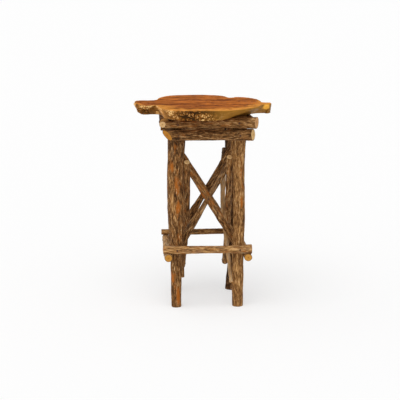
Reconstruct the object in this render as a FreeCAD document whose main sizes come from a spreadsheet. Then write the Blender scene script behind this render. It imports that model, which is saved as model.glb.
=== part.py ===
import FreeCAD, Part
import os
from FreeCAD import Placement, Rotation, Vector

# A tall rustic table: a burl slab on four bark-on hickory poles, held by nailed rails,
# stretchers and crossed braces. Each pole is a tapered, crooked stick that is coped to
# sit on the round of the pole that carries it. Millimetres, +Z up, origin on the floor
# under the middle of the slab, camera side towards -Y.

doc = FreeCAD.newDocument("rustic_hickory_table")

# Driving dimensions

SIZES = {
    "table_height": 762,
    "slab_width": 521,
    "slab_depth": 504,
    "slab_thickness": 36,
    "base_shift": 12,
    "leg_inset_across": 144.5,
    "leg_inset_deep": 137,
    "seat_depth": 3,
    "saw_reach": 90,
    "front_left_leg_radius": 31,
    "front_left_leg_bow": 4,
    "front_right_leg_radius": 22.5,
    "front_right_leg_bow": 4,
    "back_left_leg_radius": 21.5,
    "back_left_leg_bow": 4,
    "back_right_leg_radius": 21,
    "back_right_leg_bow": 8,
    "front_upper_rail_radius": 18,
    "front_upper_rail_bow": 3,
    "front_upper_rail_left_reach": 63,
    "front_upper_rail_right_reach": 85,
    "front_upper_rail_left_drop": 24,
    "front_upper_rail_right_drop": 17.8,
    "front_lower_rail_radius": 19,
    "front_lower_rail_bow": 2,
    "front_lower_rail_left_reach": 54,
    "front_lower_rail_right_reach": 72,
    "front_lower_rail_left_drop": 63,
    "front_lower_rail_right_drop": 63.2,
    "back_upper_rail_radius": 18,
    "back_upper_rail_bow": 3,
    "back_upper_rail_left_reach": 42,
    "back_upper_rail_right_reach": 50,
    "back_upper_rail_left_drop": 19,
    "back_upper_rail_right_drop": 22,
    "back_lower_rail_radius": 20,
    "back_lower_rail_bow": 3,
    "back_lower_rail_left_reach": 48,
    "back_lower_rail_right_reach": 44,
    "back_lower_rail_left_drop": 74,
    "back_lower_rail_right_drop": 76,
    "left_rail_radius": 19.5,
    "left_rail_bow": 2,
    "left_rail_drop": 20,
    "right_rail_radius": 19,
    "right_rail_bow": 2,
    "right_rail_drop": 19,
    "left_stretcher_radius": 15,
    "left_stretcher_bow": 3,
    "left_stretcher_front_reach": 56,
    "left_stretcher_back_reach": 52,
    "right_stretcher_radius": 15,
    "right_stretcher_bow": 3,
    "right_stretcher_front_reach": 56,
    "right_stretcher_back_reach": 50,
    "side_stretcher_height": 201,
    "front_stretcher_radius": 15.5,
    "front_stretcher_bow": 2,
    "front_stretcher_left_reach": 50,
    "front_stretcher_right_reach": 49,
    "back_stretcher_radius": 11.8,
    "back_stretcher_bow": 3,
    "back_stretcher_left_reach": 48,
    "back_stretcher_right_reach": 42,
    "brace_reach": 8,
    "front_falling_brace_radius": 14,
    "front_falling_brace_bow": 9,
    "front_falling_brace_drop": 101,
    "front_falling_brace_low": 219,
    "front_rising_brace_radius": 11.5,
    "front_rising_brace_bow": 20,
    "front_rising_brace_drop": 124,
    "front_rising_brace_low": 186,
    "back_falling_brace_radius": 11.5,
    "back_falling_brace_bow": 17,
    "back_falling_brace_drop": 111,
    "back_falling_brace_low": 225,
    "back_rising_brace_radius": 12.4,
    "back_rising_brace_bow": 7,
    "back_rising_brace_drop": 126,
    "back_rising_brace_low": 184,
    "left_falling_brace_radius": 12,
    "left_falling_brace_bow": 8,
    "left_falling_brace_drop": 164,
    "left_falling_brace_low": 95,
    "left_rising_brace_radius": 11,
    "left_rising_brace_bow": 4,
    "left_rising_brace_drop": 151,
    "left_rising_brace_low": 109,
    "right_falling_brace_radius": 12,
    "right_falling_brace_bow": 4,
    "right_falling_brace_drop": 146,
    "right_falling_brace_low": 107,
    "right_rising_brace_radius": 8.3,
    "right_rising_brace_bow": 12,
    "right_rising_brace_drop": 159,
    "right_rising_brace_low": 95,
    "nail_shank": 3.6,
    "nail_tip": 1.6,
    "nail_head_width": 6.4,
    "nail_head_thickness": 1.6,
    "nail_head_bed": 0.8,
    "nail_inset": 14,
    "rail_nail_length": 58,
    "stretcher_nail_length": 42,
    "brace_nail_length": 38,
    "slab_nail_length": 64,
    "slab_nail_spacing": 120,
}

sheet = doc.addObject("Spreadsheet::Sheet", "Sizes")
for row, (alias, value) in enumerate(SIZES.items(), start=1):
    sheet.set(f"A{row}", alias.replace("_", " "))
    sheet.set(f"B{row}", str(value))
    sheet.setAlias(f"B{row}", alias)
doc.recompute()


def size(alias):
    """The value of a named size, read back from the sheet."""
    return float(sheet.get(alias))


# How each stick swells, tapers and wanders along its length. Stations are shares of the
# length, girths are shares of its radius, bends and sways are shares of its bow: a bend
# shows from the side that the stick faces, and a sway is square to it.

RING_SIDES = 16
HALF_SIDE_DEGREES = 180 / RING_SIDES

LEG_STATION_SHARES = (0, 0.14, 0.24, 0.36, 0.5, 0.75, 0.87, 1)

STICK_SHARES = {
    "front_left_leg": {
        "station_shares": LEG_STATION_SHARES,
        "girth_shares": (0.60, 0.665, 0.70, 0.82, 0.99, 0.98, 1.0, 0.99),
        "bend_shares": (-0.15, -0.1, -0.2, 0.6, 0.1, -0.45, 1.1, 1.2),
        "sway_shares": (0, 0.3, 0.5, 0.2, -0.4, -0.3, 0.2, 0),
    },
    "front_right_leg": {
        "station_shares": LEG_STATION_SHARES,
        "girth_shares": (0.93, 0.995, 0.97, 0.98, 1.0, 1.02, 1.32, 1.38),
        "bend_shares": (0.1, -0.15, 0.1, 0.6, 0.95, 0.4, -0.4, -0.3),
        "sway_shares": (0, -0.3, -0.4, 0.1, 0.5, 0.3, -0.2, 0),
    },
    "back_left_leg": {
        "station_shares": (0, 0.2, 0.36, 0.62, 1),
        "girth_shares": (0.88, 0.9, 0.97, 1.02, 1.1),
        "bend_shares": (1.8, 1.4, -0.2, -0.3, 0.2),
        "sway_shares": (0, 0.3, 0.5, -0.3, 0),
    },
    "back_right_leg": {
        "station_shares": (0, 0.14, 0.5, 0.78, 1),
        "girth_shares": (0.93, 0.95, 1.0, 1.05, 1.14),
        "bend_shares": (-0.85, 0, -0.1, -1.1, -1.2),
        "sway_shares": (0, 0.4, 0.3, -0.2, 0),
    },
    "front_upper_rail": {
        "station_shares": (0, 0.15, 0.5, 0.85, 1),
        "girth_shares": (0.70, 0.77, 0.88, 1.18, 1.24),
        "bend_shares": (0, 0.3, 0.2, 0, 0),
        "sway_shares": (0, 0, 0.6, 0, 0),
    },
    "front_lower_rail": {
        "station_shares": (0, 0.3, 0.6, 1),
        "girth_shares": (1.12, 1.0, 1.03, 1.16),
        "bend_shares": (0, 0.4, 0.3, 0),
        "sway_shares": (0, 0.4, 0.2, 0),
    },
    "back_upper_rail": {
        "station_shares": (0, 0.35, 0.7, 1),
        "girth_shares": (1.08, 0.98, 0.92, 0.9),
        "bend_shares": (0, 0.2, 0.1, 0),
        "sway_shares": (0, -0.6, -0.8, 0),
    },
    "back_lower_rail": {
        "station_shares": (0, 0.4, 1),
        "girth_shares": (0.92, 1.0, 1.1),
        "bend_shares": (0, 0.5, 0),
        "sway_shares": (0, -0.5, 0),
    },
    "left_rail": {
        "station_shares": (0, 0.5, 1),
        "girth_shares": (1.0, 0.97, 0.9),
        "bend_shares": (0, 0.5, 0),
        "sway_shares": (0, 0.4, 0),
    },
    "right_rail": {
        "station_shares": (0, 0.5, 1),
        "girth_shares": (1.0, 0.95, 1.0),
        "bend_shares": (0, -0.5, 0),
        "sway_shares": (0, 0.4, 0),
    },
    "left_stretcher": {
        "station_shares": (0, 0.3, 0.7, 1),
        "girth_shares": (1.0, 0.98, 1.0, 0.95),
        "bend_shares": (1.3, 0.2, 0.2, 0),
        "sway_shares": (-0.6, 0.2, -0.8, -1.2),
    },
    "right_stretcher": {
        "station_shares": (0, 0.35, 0.7, 1),
        "girth_shares": (1.0, 0.96, 0.94, 0.98),
        "bend_shares": (0, 0, -1.2, -1.9),
        "sway_shares": (0, -0.5, -0.9, -1.2),
    },
    "front_stretcher": {
        "station_shares": (0, 0.3, 0.6, 0.85, 1),
        "girth_shares": (1.0, 0.97, 0.93, 1.05, 1.2),
        "bend_shares": (0, 0.4, 0.5, 0.2, 0.3),
        "sway_shares": (0, 0.5, 0, -0.3, 0),
    },
    "back_stretcher": {
        "station_shares": (0, 0.4, 0.75, 1),
        "girth_shares": (0.98, 1.0, 0.96, 0.9),
        "bend_shares": (-1.1, -0.9, -1.0, -1.0),
        "sway_shares": (0, -0.4, 0, 0),
    },
    "front_falling_brace": {
        "station_shares": (0, 0.35, 0.7, 1),
        "girth_shares": (0.96, 1.0, 1.0, 0.94),
        "bend_shares": (0, 0.05, -0.05, 0),
        "sway_shares": (0, -0.9, -0.9, 0),
    },
    "front_rising_brace": {
        "station_shares": (0, 0.3, 0.7, 1),
        "girth_shares": (1.06, 1.02, 0.96, 0.9),
        "bend_shares": (0, 0.04, -0.03, 0),
        "sway_shares": (0, 0.95, 0.9, 0),
    },
    "back_falling_brace": {
        "station_shares": (0, 0.35, 0.7, 1),
        "girth_shares": (0.95, 1.0, 1.0, 1.04),
        "bend_shares": (0, 0.05, 0.03, 0),
        "sway_shares": (0, -0.95, -0.95, 0),
    },
    "back_rising_brace": {
        "station_shares": (0, 0.35, 0.58, 0.78, 1),
        "girth_shares": (1.05, 1.0, 1.08, 0.97, 0.95),
        "bend_shares": (0, -0.35, 0.35, 0, 0),
        "sway_shares": (0, 1.0, 1.0, -0.2, 0),
    },
    "left_falling_brace": {
        "station_shares": (0, 0.3, 0.65, 1),
        "girth_shares": (1.08, 1.12, 0.97, 0.94),
        "bend_shares": (0, 0.55, 1.0, 0),
        "sway_shares": (0, 0.2, -0.2, 0),
    },
    "left_rising_brace": {
        "station_shares": (0, 0.4, 0.7, 1),
        "girth_shares": (1.0, 1.02, 0.98, 0.95),
        "bend_shares": (0, -0.9, -0.9, 0),
        "sway_shares": (0, 0.3, 0, 0),
    },
    "right_falling_brace": {
        "station_shares": (0, 0.35, 0.7, 1),
        "girth_shares": (0.98, 1.02, 1.0, 1.0),
        "bend_shares": (0, 0.6, 1.0, 0),
        "sway_shares": (0, 0.3, 0.2, 0),
    },
    "right_rising_brace": {
        "station_shares": (0, 0.12, 0.3, 0.6, 1),
        "girth_shares": (1.0, 0.98, 1.0, 1.0, 1.06),
        "bend_shares": (0, -0.25, -0.8, -1.3, 0),
        "sway_shares": (0, 0.1, 0.2, -0.2, 0),
    },
}


def share_at(name, key, station):
    """A stick's girth, bend or sway share at any station, between its named ones."""
    stations = STICK_SHARES[name]["station_shares"]
    values = STICK_SHARES[name][key]
    for low, high, start, finish in zip(stations, stations[1:], values, values[1:]):
        if station <= high:
            return start + (finish - start) * (station - low) / (high - low)
    return values[-1]


# Places, as formulas of the sheet's sizes

LEG_X = {
    "left": "(Sizes.base_shift - (Sizes.slab_width / 2 - Sizes.leg_inset_across))",
    "right": "(Sizes.base_shift + (Sizes.slab_width / 2 - Sizes.leg_inset_across))",
}
LEG_Y = {
    "front": "(Sizes.leg_inset_deep - Sizes.slab_depth / 2)",
    "back": "(Sizes.slab_depth / 2 - Sizes.leg_inset_deep)",
}
SLAB_UNDERSIDE = "(Sizes.table_height - Sizes.slab_thickness)"


def leg_x(depth, side, station):
    """Where a leg's crooked centre line is, across the table."""
    leg = f"{depth}_{side}_leg"
    return f"{LEG_X[side]} + Sizes.{leg}_bow * {share_at(leg, 'bend_shares', station):.4f}"


def leg_y(depth, side, station):
    """Where a leg's crooked centre line is, from front to back."""
    leg = f"{depth}_{side}_leg"
    return f"{LEG_Y[depth]} + Sizes.{leg}_bow * {share_at(leg, 'sway_shares', station):.4f}"


def half(name, station):
    """Half the width of a stick."""
    return f"Sizes.{name}_radius * {share_at(name, 'girth_shares', station):.4f}"


def stick(name, start, finish):
    """A crooked tapered stick, lofted through rings along the guide line between two places."""
    guide = doc.addObject("Part::Line", f"{name}_guide")
    for key, formula in zip(("X1", "Y1", "Z1", "X2", "Y2", "Z2"), start + finish):
        guide.setExpression(key, formula)
    doc.recompute()
    run = [f"({guide.Name}.{axis}2 - {guide.Name}.{axis}1)" for axis in "XYZ"]
    span = f"hypot({run[0]}; {run[1]}; {run[2]})"
    shares = STICK_SHARES[name]
    rings = []
    for station, girth, bend, sway in zip(*shares.values()):
        ring = doc.addObject("Part::RegularPolygon", f"{name}_ring")
        ring.Polygon = RING_SIDES
        ring.setExpression("Circumradius", f"Sizes.{name}_radius * {girth} / cos({HALF_SIDE_DEGREES})")
        ring.Placement.Rotation = Rotation(Vector(0, 0, 1), HALF_SIDE_DEGREES)
        ring.setExpression("Placement.Base.x", f"Sizes.{name}_bow * {bend}")
        ring.setExpression("Placement.Base.y", f"Sizes.{name}_bow * {sway}")
        ring.setExpression("Placement.Base.z", f"{span} * {station}")
        rings.append(ring)
    log = doc.addObject("Part::Loft", f"{name}_log")
    log.Sections = rings
    log.Solid = True
    log.Ruled = True
    turn = f"rotation(vector(-{run[1]}; {run[0]}; 0); acos({run[2]} / {span}))"
    if guide.X1 == guide.X2 and guide.Y1 == guide.Y2:
        turn = "rotation(vector(0; 0; 1); 0)"
    corner = f"vector({guide.Name}.X1; {guide.Name}.Y1; {guide.Name}.Z1)"
    log.setExpression("Placement", f"placement({corner}; {turn})")
    return log


logs = {}

# Legs

for depth in LEG_Y:
    for side in LEG_X:
        name = f"{depth}_{side}_leg"
        foot = (LEG_X[side], LEG_Y[depth], "0")
        top = (LEG_X[side], LEG_Y[depth], SLAB_UNDERSIDE)
        logs[name] = stick(name, foot, top)

# Rails under the slab, nailed across the outer faces of the legs

RAIL_LEVEL_SHARES = {"upper": 0.97, "lower": 0.91}
RAIL_LEG_SHARES = {"left": 0.13, "right": 0.82}
SIDE_RAIL_LEG_SHARES = {"front": 0.15, "back": 0.85}
OUTWARD = {"front": "-", "back": "+", "left": "-", "right": "+"}

for depth in LEG_Y:
    for level in ("upper", "lower"):
        name = f"{depth}_{level}_rail"
        ends = []
        for side, leg_share in RAIL_LEG_SHARES.items():
            seat = f"{half(f'{depth}_{side}_leg', RAIL_LEVEL_SHARES[level])} + {half(name, leg_share)}"
            across = f"{LEG_X[side]} {OUTWARD[side]} Sizes.{name}_{side}_reach"
            deep = f"{LEG_Y[depth]} {OUTWARD[depth]} ({seat} - Sizes.seat_depth)"
            ends.append((across, deep, f"{SLAB_UNDERSIDE} - Sizes.{name}_{side}_drop"))
        logs[name] = stick(name, ends[0], ends[1])

for side in LEG_X:
    name = f"{side}_rail"
    ends = []
    for depth, leg_share in SIDE_RAIL_LEG_SHARES.items():
        leg = f"{depth}_{side}_leg"
        seat = f"{half(leg, RAIL_LEVEL_SHARES['upper'])} + {half(name, leg_share)} - Sizes.seat_depth"
        across = f"{leg_x(depth, side, RAIL_LEVEL_SHARES['upper'])} {OUTWARD[side]} ({seat})"
        deep = f"{LEG_Y[depth]} {OUTWARD[depth]} {half(leg, 1)}"
        ends.append((across, deep, f"{SLAB_UNDERSIDE} - Sizes.{name}_drop"))
    logs[name] = stick(name, ends[0], ends[1])

# Stretchers: the side pair on the outer faces of the legs, the front and back pair on top of them

STRETCHER_LEVEL_SHARE = 0.28
CROSSING_SHARE = 0.2
for side in LEG_X:
    name = f"{side}_stretcher"
    ends = []
    for depth in LEG_Y:
        leg = f"{depth}_{side}_leg"
        seat = f"{half(leg, STRETCHER_LEVEL_SHARE)} + {half(name, CROSSING_SHARE)} - Sizes.seat_depth"
        across = f"{leg_x(depth, side, STRETCHER_LEVEL_SHARE)} {OUTWARD[side]} ({seat})"
        deep = f"{LEG_Y[depth]} {OUTWARD[depth]} Sizes.{name}_{depth}_reach"
        ends.append((across, deep, "Sizes.side_stretcher_height"))
    logs[name] = stick(name, ends[0], ends[1])

for depth in LEG_Y:
    name = f"{depth}_stretcher"
    ends = []
    for side in LEG_X:
        leg = f"{depth}_{side}_leg"
        seat = f"{half(leg, STRETCHER_LEVEL_SHARE)} + {half(name, CROSSING_SHARE)} - Sizes.seat_depth"
        across = f"{LEG_X[side]} {OUTWARD[side]} Sizes.{name}_{side}_reach"
        deep = f"{leg_y(depth, side, STRETCHER_LEVEL_SHARE)} {OUTWARD[depth]} ({seat})"
        below = half(f"{side}_stretcher", CROSSING_SHARE)
        rest = f"{below} + {half(name, CROSSING_SHARE)} - Sizes.seat_depth / 2"
        ends.append((across, deep, f"Sizes.side_stretcher_height + {rest}"))
    logs[name] = stick(name, ends[0], ends[1])

# Crossed braces, nailed to the inner faces of the legs

BRACE_LEVEL_SHARES = {"high": 0.82, "low": 0.3}
SIDE_BRACE_LEVEL_SHARES = {"high": 0.78, "low": 0.14}
INWARD = {"front": "+", "back": "-", "left": "+", "right": "-"}


def brace_level(name, level):
    """The height of a brace's end: a drop from the slab, or a height over the floor."""
    if level == "high":
        return f"{SLAB_UNDERSIDE} - Sizes.{name}_drop"
    return f"Sizes.{name}_low"


def cross_end(name, depth, side, level, share):
    """An end of a front or back brace, on the inner face of a leg."""
    leg = f"{depth}_{side}_leg"
    station = BRACE_LEVEL_SHARES[level]
    seat = f"{half(leg, station)} + {half(name, share)} - Sizes.seat_depth"
    across = f"{LEG_X[side]} {OUTWARD[side]} Sizes.brace_reach"
    deep = f"{leg_y(depth, side, station)} {INWARD[depth]} ({seat})"
    return (across, deep, brace_level(name, level))


def side_end(name, depth, side, level, across_share, deep_share, share):
    """An end of a side brace, against a leg in the direction that the two shares give."""
    leg = f"{depth}_{side}_leg"
    station = SIDE_BRACE_LEVEL_SHARES[level]
    seat = f"({half(leg, station)} + {half(name, share)} - Sizes.seat_depth)"
    across = f"{leg_x(depth, side, station)} {INWARD[side]} {seat} * {across_share}"
    deep = f"{leg_y(depth, side, station)} {OUTWARD[depth]} {seat} * {deep_share}"
    return (across, deep, brace_level(name, level))


for depth in LEG_Y:
    name = f"{depth}_falling_brace"
    high = cross_end(name, depth, "left", "high", 0)
    low = cross_end(name, depth, "right", "low", 1)
    logs[name] = stick(name, high, low)
    name = f"{depth}_rising_brace"
    low = cross_end(name, depth, "left", "low", 0)
    high = cross_end(name, depth, "right", "high", 1)
    logs[name] = stick(name, low, high)

# The last two shares say how far round the leg an end is nailed, inward and outward.
SIDE_BRACE_SHARES = {
    "left": {"fall": (1, 0.17, 1, 0.2), "rise": (0.76, -0.65, 1, 0.2)},
    "right": {"fall": (1, 0.17, 1, 0.2), "rise": (0.87, 0.48, 0.88, 0.47)},
}
for side, turns in SIDE_BRACE_SHARES.items():
    name = f"{side}_falling_brace"
    high = side_end(name, "front", side, "high", turns["fall"][0], turns["fall"][1], 0)
    low = side_end(name, "back", side, "low", turns["fall"][2], turns["fall"][3], 1)
    logs[name] = stick(name, high, low)
    name = f"{side}_rising_brace"
    low = side_end(name, "front", side, "low", turns["rise"][0], turns["rise"][1], 0)
    high = side_end(name, "back", side, "high", turns["rise"][2], turns["rise"][3], 1)
    logs[name] = stick(name, low, high)

# The slab: one burl slice whose natural edge leans in towards its underside

# Each point is a share of the half width, of the half depth and, for how far the edge
# leans in below it, of the thickness. They go round from the middle of the front.
SLAB_EDGE_SHARES = (
    (0.04, -0.99, 0.25), (0.23, -0.985, 0.7), (0.40, -0.92, 1.3), (0.575, -0.78, 1.8),
    (0.71, -0.615, 1.8), (0.795, -0.48, 1.5), (0.85, -0.33, 1.1), (0.955, -0.285, 0.7),
    (0.998, -0.18, 0.2), (0.99, -0.05, 0.15), (0.895, -0.008, 0.5), (0.883, 0.16, 0.6),
    (0.85, 0.38, 0.6), (0.77, 0.54, 0.6), (0.675, 0.645, 0.5), (0.54, 0.68, 0.4),
    (0.465, 0.603, 0.3), (0.42, 0.72, 0.4), (0.34, 0.87, 0.5), (0.19, 0.95, 0.5),
    (0.02, 1.0, 0.5), (-0.20, 0.99, 0.5), (-0.42, 0.94, 0.5), (-0.545, 0.80, 0.6),
    (-0.625, 0.615, 0.5), (-0.668, 0.40, 0.4), (-0.77, 0.34, 0.4), (-0.94, 0.33, 0.4),
    (-0.995, 0.2, 0.4), (-1.005, 0.04, 0.45), (-0.98, -0.2, 0.6), (-0.915, -0.325, 0.85),
    (-0.79, -0.39, 1.15), (-0.695, -0.33, 0.7), (-0.655, -0.53, 0.5), (-0.585, -0.775, 0.5),
    (-0.46, -0.935, 0.55), (-0.23, -0.98, 0.4),
)
# Drop below the top face, how much of the lean is reached there, and the rounding of the rim.
SLAB_LEVEL_SHARES = ((0, 0, 0.08), (0.16, 0, 0), (0.5, 0.35, 0), (1, 1, 0))


def closed_curve(points):
    """A smooth closed curve through points, evenly spaced in its own parameter."""
    curve = Part.BSplineCurve()
    curve.interpolate(Points=points, PeriodicFlag=True, Parameters=list(range(len(points) + 1)))
    return curve


def slab_points():
    """The widest outline of the slab, fitted to its width and depth about the origin."""
    points = [Vector(across, deep, 0) for across, deep, lean in SLAB_EDGE_SHARES]
    box = Part.makePolygon(closed_curve(points).toShape().discretize(len(points) ** 2)).BoundBox
    scale_across = size("slab_width") / box.XLength
    scale_deep = size("slab_depth") / box.YLength
    centre = box.Center
    return [Vector((p.x - centre.x) * scale_across, (p.y - centre.y) * scale_deep, 0) for p in points]


def leaned(points, lean_share, rim_share):
    """The outline at a lower level, moved in square to itself."""
    moved = []
    for index, point in enumerate(points):
        along = points[(index + 1) % len(points)] - points[index - 1]
        inward = Vector(-along.y, along.x, 0).normalize()
        reach = SLAB_EDGE_SHARES[index][2] * lean_share + rim_share
        moved.append(point + inward * reach * size("slab_thickness"))
    return moved


slab_body = doc.addObject("PartDesign::Body", "top_slab")
level_plane = [f for f in slab_body.Origin.OriginFeatures if f.Role == "XY_Plane"][0]
outlines = []
for drop, lean_share, rim_share in SLAB_LEVEL_SHARES:
    outline = slab_body.newObject("Sketcher::SketchObject", "slab_outline")
    outline.AttachmentSupport = [(level_plane, "")]
    outline.MapMode = "FlatFace"
    outline.setExpression("AttachmentOffset.Base.z", f"Sizes.table_height - Sizes.slab_thickness * {drop}")
    outline.addGeometry(closed_curve(leaned(slab_points(), lean_share, rim_share)))
    outlines.append(outline)
slab_loft = slab_body.newObject("PartDesign::AdditiveLoft", "slab_loft")
slab_loft.Profile = outlines[0]
slab_loft.Sections = outlines[1:]
slab_loft.Ruled = True
slab_body.Tip = slab_loft
doc.recompute()

# Saw cuts: the front rails are cut off aslant

SAW_CUT_SHARES = {
    "front_upper_rail": {"left": (-0.74, -0.67, 0.05), "right": (0.95, -0.3, 0)},
    "front_lower_rail": {"left": (-0.76, -0.5, -0.42), "right": (0.95, -0.28, 0.05)},
}


def saw(log, place, outward):
    """Takes off all of a stick that lies beyond a plane."""
    waste = doc.addObject("Part::Box", f"{log.Name}_waste")
    for key in ("Length", "Width", "Height"):
        waste.setExpression(key, "Sizes.saw_reach * 2")
    turn = Rotation(Vector(0, 0, 1), outward)
    corner = turn.multVec(Vector(-size("saw_reach"), -size("saw_reach"), 0))
    waste.Placement = Placement(place + corner, turn)
    sawn = doc.addObject("Part::Cut", f"{log.Name}_sawn")
    sawn.Base = log
    sawn.Tool = waste
    return sawn


def axis_point(name, station):
    """A place on a stick's crooked centre line."""
    rings = logs[name].Sections
    stations = STICK_SHARES[name]["station_shares"]
    for low, high, start, finish in zip(stations, stations[1:], rings, rings[1:]):
        if station <= high:
            break
    part = (station - low) / (high - low)
    local = start.Placement.Base * (1 - part) + finish.Placement.Base * part
    return logs[name].Placement.multVec(local)


def length_of(name):
    """The straight length of a stick."""
    return (axis_point(name, 1) - axis_point(name, 0)).Length


sticks = dict(logs)
sound_spans = {name: [0, 1] for name in logs}
for name, ends in SAW_CUT_SHARES.items():
    allowance = size(f"{name}_radius") / length_of(name)
    sound_spans[name] = [allowance, 1 - allowance]
    for station, outward in zip(sound_spans[name], ends.values()):
        sticks[name] = saw(sticks[name], axis_point(name, station), Vector(*outward))
doc.recompute()

# Coped seats: each stick is hollowed to the round of what carries it, so it sits face to face

RESTS_ON = {}
for depth in LEG_Y:
    legs = [f"{depth}_left_leg", f"{depth}_right_leg"]
    RESTS_ON[f"{depth}_upper_rail"] = legs + ["top_slab"]
    RESTS_ON[f"{depth}_lower_rail"] = legs
    RESTS_ON[f"{depth}_stretcher"] = legs + ["left_stretcher", "right_stretcher"]
    RESTS_ON[f"{depth}_falling_brace"] = legs
    RESTS_ON[f"{depth}_rising_brace"] = legs + [f"{depth}_falling_brace"]
for side in LEG_X:
    legs = [f"front_{side}_leg", f"back_{side}_leg"]
    RESTS_ON[f"{side}_rail"] = legs + [f"{depth}_upper_rail" for depth in LEG_Y] + ["top_slab"]
    RESTS_ON[f"{side}_stretcher"] = legs
    RESTS_ON[f"{side}_falling_brace"] = legs
    RESTS_ON[f"{side}_rising_brace"] = legs + [f"{side}_falling_brace"]
RESTS_ON["left_falling_brace"].append("front_falling_brace")
RESTS_ON["right_falling_brace"].append("front_rising_brace")
RESTS_ON["right_rising_brace"].append("back_rising_brace")

for name, carriers in RESTS_ON.items():
    for carrier in carriers:
        seat = doc.addObject("Part::Cut", f"{name}_seat")
        seat.Base = sticks[name]
        seat.Tool = logs.get(carrier, slab_body)
        sticks[name] = seat
doc.recompute()

# Cut nails, driven square through the upper stick into the one that carries it


def nail_master(name, length):
    """A cut nail: a tapered shank under a square head, its tip at the origin, its head up +Y."""
    shank = doc.addObject("Part::Wedge", f"{name}_shank")
    shank.Ymin = 0
    shank.setExpression("Ymax", length)
    for key in ("X", "Z"):
        shank.setExpression(f"{key}min", "-Sizes.nail_tip / 2")
        shank.setExpression(f"{key}max", "Sizes.nail_tip / 2")
        shank.setExpression(f"{key}2min", "-Sizes.nail_shank / 2")
        shank.setExpression(f"{key}2max", "Sizes.nail_shank / 2")
    head = doc.addObject("Part::Box", f"{name}_head")
    head.setExpression("Length", "Sizes.nail_head_width")
    head.setExpression("Width", "Sizes.nail_head_thickness")
    head.setExpression("Height", "Sizes.nail_head_width")
    head.setExpression("Placement.Base.x", "-Sizes.nail_head_width / 2")
    head.setExpression("Placement.Base.y", length)
    head.setExpression("Placement.Base.z", "-Sizes.nail_head_width / 2")
    nail = doc.addObject("Part::Fuse", f"{name}_master")
    nail.Base = shank
    nail.Tool = head
    return nail


def nearest_on(name, place):
    """The place on a stick's centre line nearest to another place."""
    stations = STICK_SHARES[name]["station_shares"]
    best = None
    for low, high in zip(stations, stations[1:]):
        start, finish = axis_point(name, low), axis_point(name, high)
        run = finish - start
        part = min(1, max(0, (place - start).dot(run) / run.dot(run)))
        near = start + run * part
        if best is None or (near - place).Length < (best - place).Length:
            best = near
    return best


def surface_entry(name, inside, outward):
    """Where a line from inside a stick comes out of it."""
    ray = Part.makeLine(inside, inside + outward * size("saw_reach"))
    cut = sticks[name].Shape.common(ray)
    return max((v.Point for v in cut.Vertexes), key=lambda p: (p - inside).Length)


TRIALS = 96


def driven(outer, inner, length):
    """The placement of a nail that goes through one stick into another where they are nearest."""
    inset = size("nail_inset") / length_of(outer)
    first = sound_spans[outer][0] + inset
    last = sound_spans[outer][1] - inset
    trials = [first + (last - first) * k / TRIALS for k in range(TRIALS + 1)]
    places = [axis_point(outer, station) for station in trials]
    inside = min(places, key=lambda place: (nearest_on(inner, place) - place).Length)
    inward = (nearest_on(inner, inside) - inside).normalize()
    return nail_placement(outer, inside, inward, length)


def nail_placement(outer, inside, inward, length):
    """A nail with its head bedded in the outer stick's surface."""
    entry = surface_entry(outer, inside, -inward)
    tip = entry + inward * (length + size("nail_head_bed"))
    return Placement(tip, Rotation(Vector(0, 1, 0), -inward))


def nail_group(name, length_name, placements):
    """One node of like nails, each a solid of its own."""
    master = nail_master(name, f"Sizes.{length_name}")
    doc.recompute()
    group = doc.addObject("Part::Feature", name)
    nails = []
    for placement in placements:
        nail = master.Shape.copy()
        nail.Placement = placement
        nails.append(nail)
    group.Shape = Part.Compound(nails)
    return group


rail_places = []
stretcher_places = []
brace_places = []
for depth in LEG_Y:
    for side in LEG_X:
        leg = f"{depth}_{side}_leg"
        for rail in (f"{depth}_upper_rail", f"{depth}_lower_rail", f"{side}_rail"):
            rail_places.append(driven(rail, leg, size("rail_nail_length")))
        for stretcher in (f"{depth}_stretcher", f"{side}_stretcher"):
            stretcher_places.append(driven(stretcher, leg, size("stretcher_nail_length")))
        for brace in (f"{depth}_falling_brace", f"{depth}_rising_brace"):
            brace_places.append(driven(brace, leg, size("brace_nail_length")))
        for brace in (f"{side}_falling_brace", f"{side}_rising_brace"):
            brace_places.append(driven(brace, leg, size("brace_nail_length")))
for face in (*LEG_Y, *LEG_X):
    falling = f"{face}_falling_brace"
    rising = f"{face}_rising_brace"
    brace_places.append(driven(falling, rising, size("brace_nail_length")))

slab_places = []
for side in LEG_X:
    rail = f"{side}_rail"
    for way in (-1, 1):
        station = 0.5 + way * size("slab_nail_spacing") / 2 / length_of(rail)
        inside = axis_point(rail, station)
        slab_places.append(nail_placement(rail, inside, Vector(0, 0, 1), size("slab_nail_length")))

nails = {
    "rail_nails": nail_group("rail_nails", "rail_nail_length", rail_places),
    "stretcher_nails": nail_group("stretcher_nails", "stretcher_nail_length", stretcher_places),
    "brace_nails": nail_group("brace_nails", "brace_nail_length", brace_places),
    "slab_nails": nail_group("slab_nails", "slab_nail_length", slab_places),
}
doc.recompute()

# Finished pieces, each with the holes of the nails that pass through it

pieces = dict(nails)
single_nails = [nail for group in nails.values() for nail in group.Shape.Solids]
for name, piece in {**sticks, "top_slab": slab_body}.items():
    near = [nail for nail in single_nails if nail.BoundBox.intersect(piece.Shape.BoundBox)]
    holes = doc.addObject("Part::Feature", f"{name}_holes")
    holes.Shape = Part.Compound(near)
    finished = doc.addObject("Part::Cut", f"{name}_piece")
    finished.Base = piece
    finished.Tool = holes
    pieces[name] = finished
for name, piece in pieces.items():
    piece.Label = name
doc.recompute()

# Check, then write each piece

for thing in doc.Objects:
    if "Invalid" in thing.State or "Error" in thing.State:
        raise RuntimeError(f"{thing.Name} did not build")
for name, piece in pieces.items():
    if piece.Shape.isNull() or not piece.Shape.isValid():
        raise RuntimeError(f"{name} has no valid shape")

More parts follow.
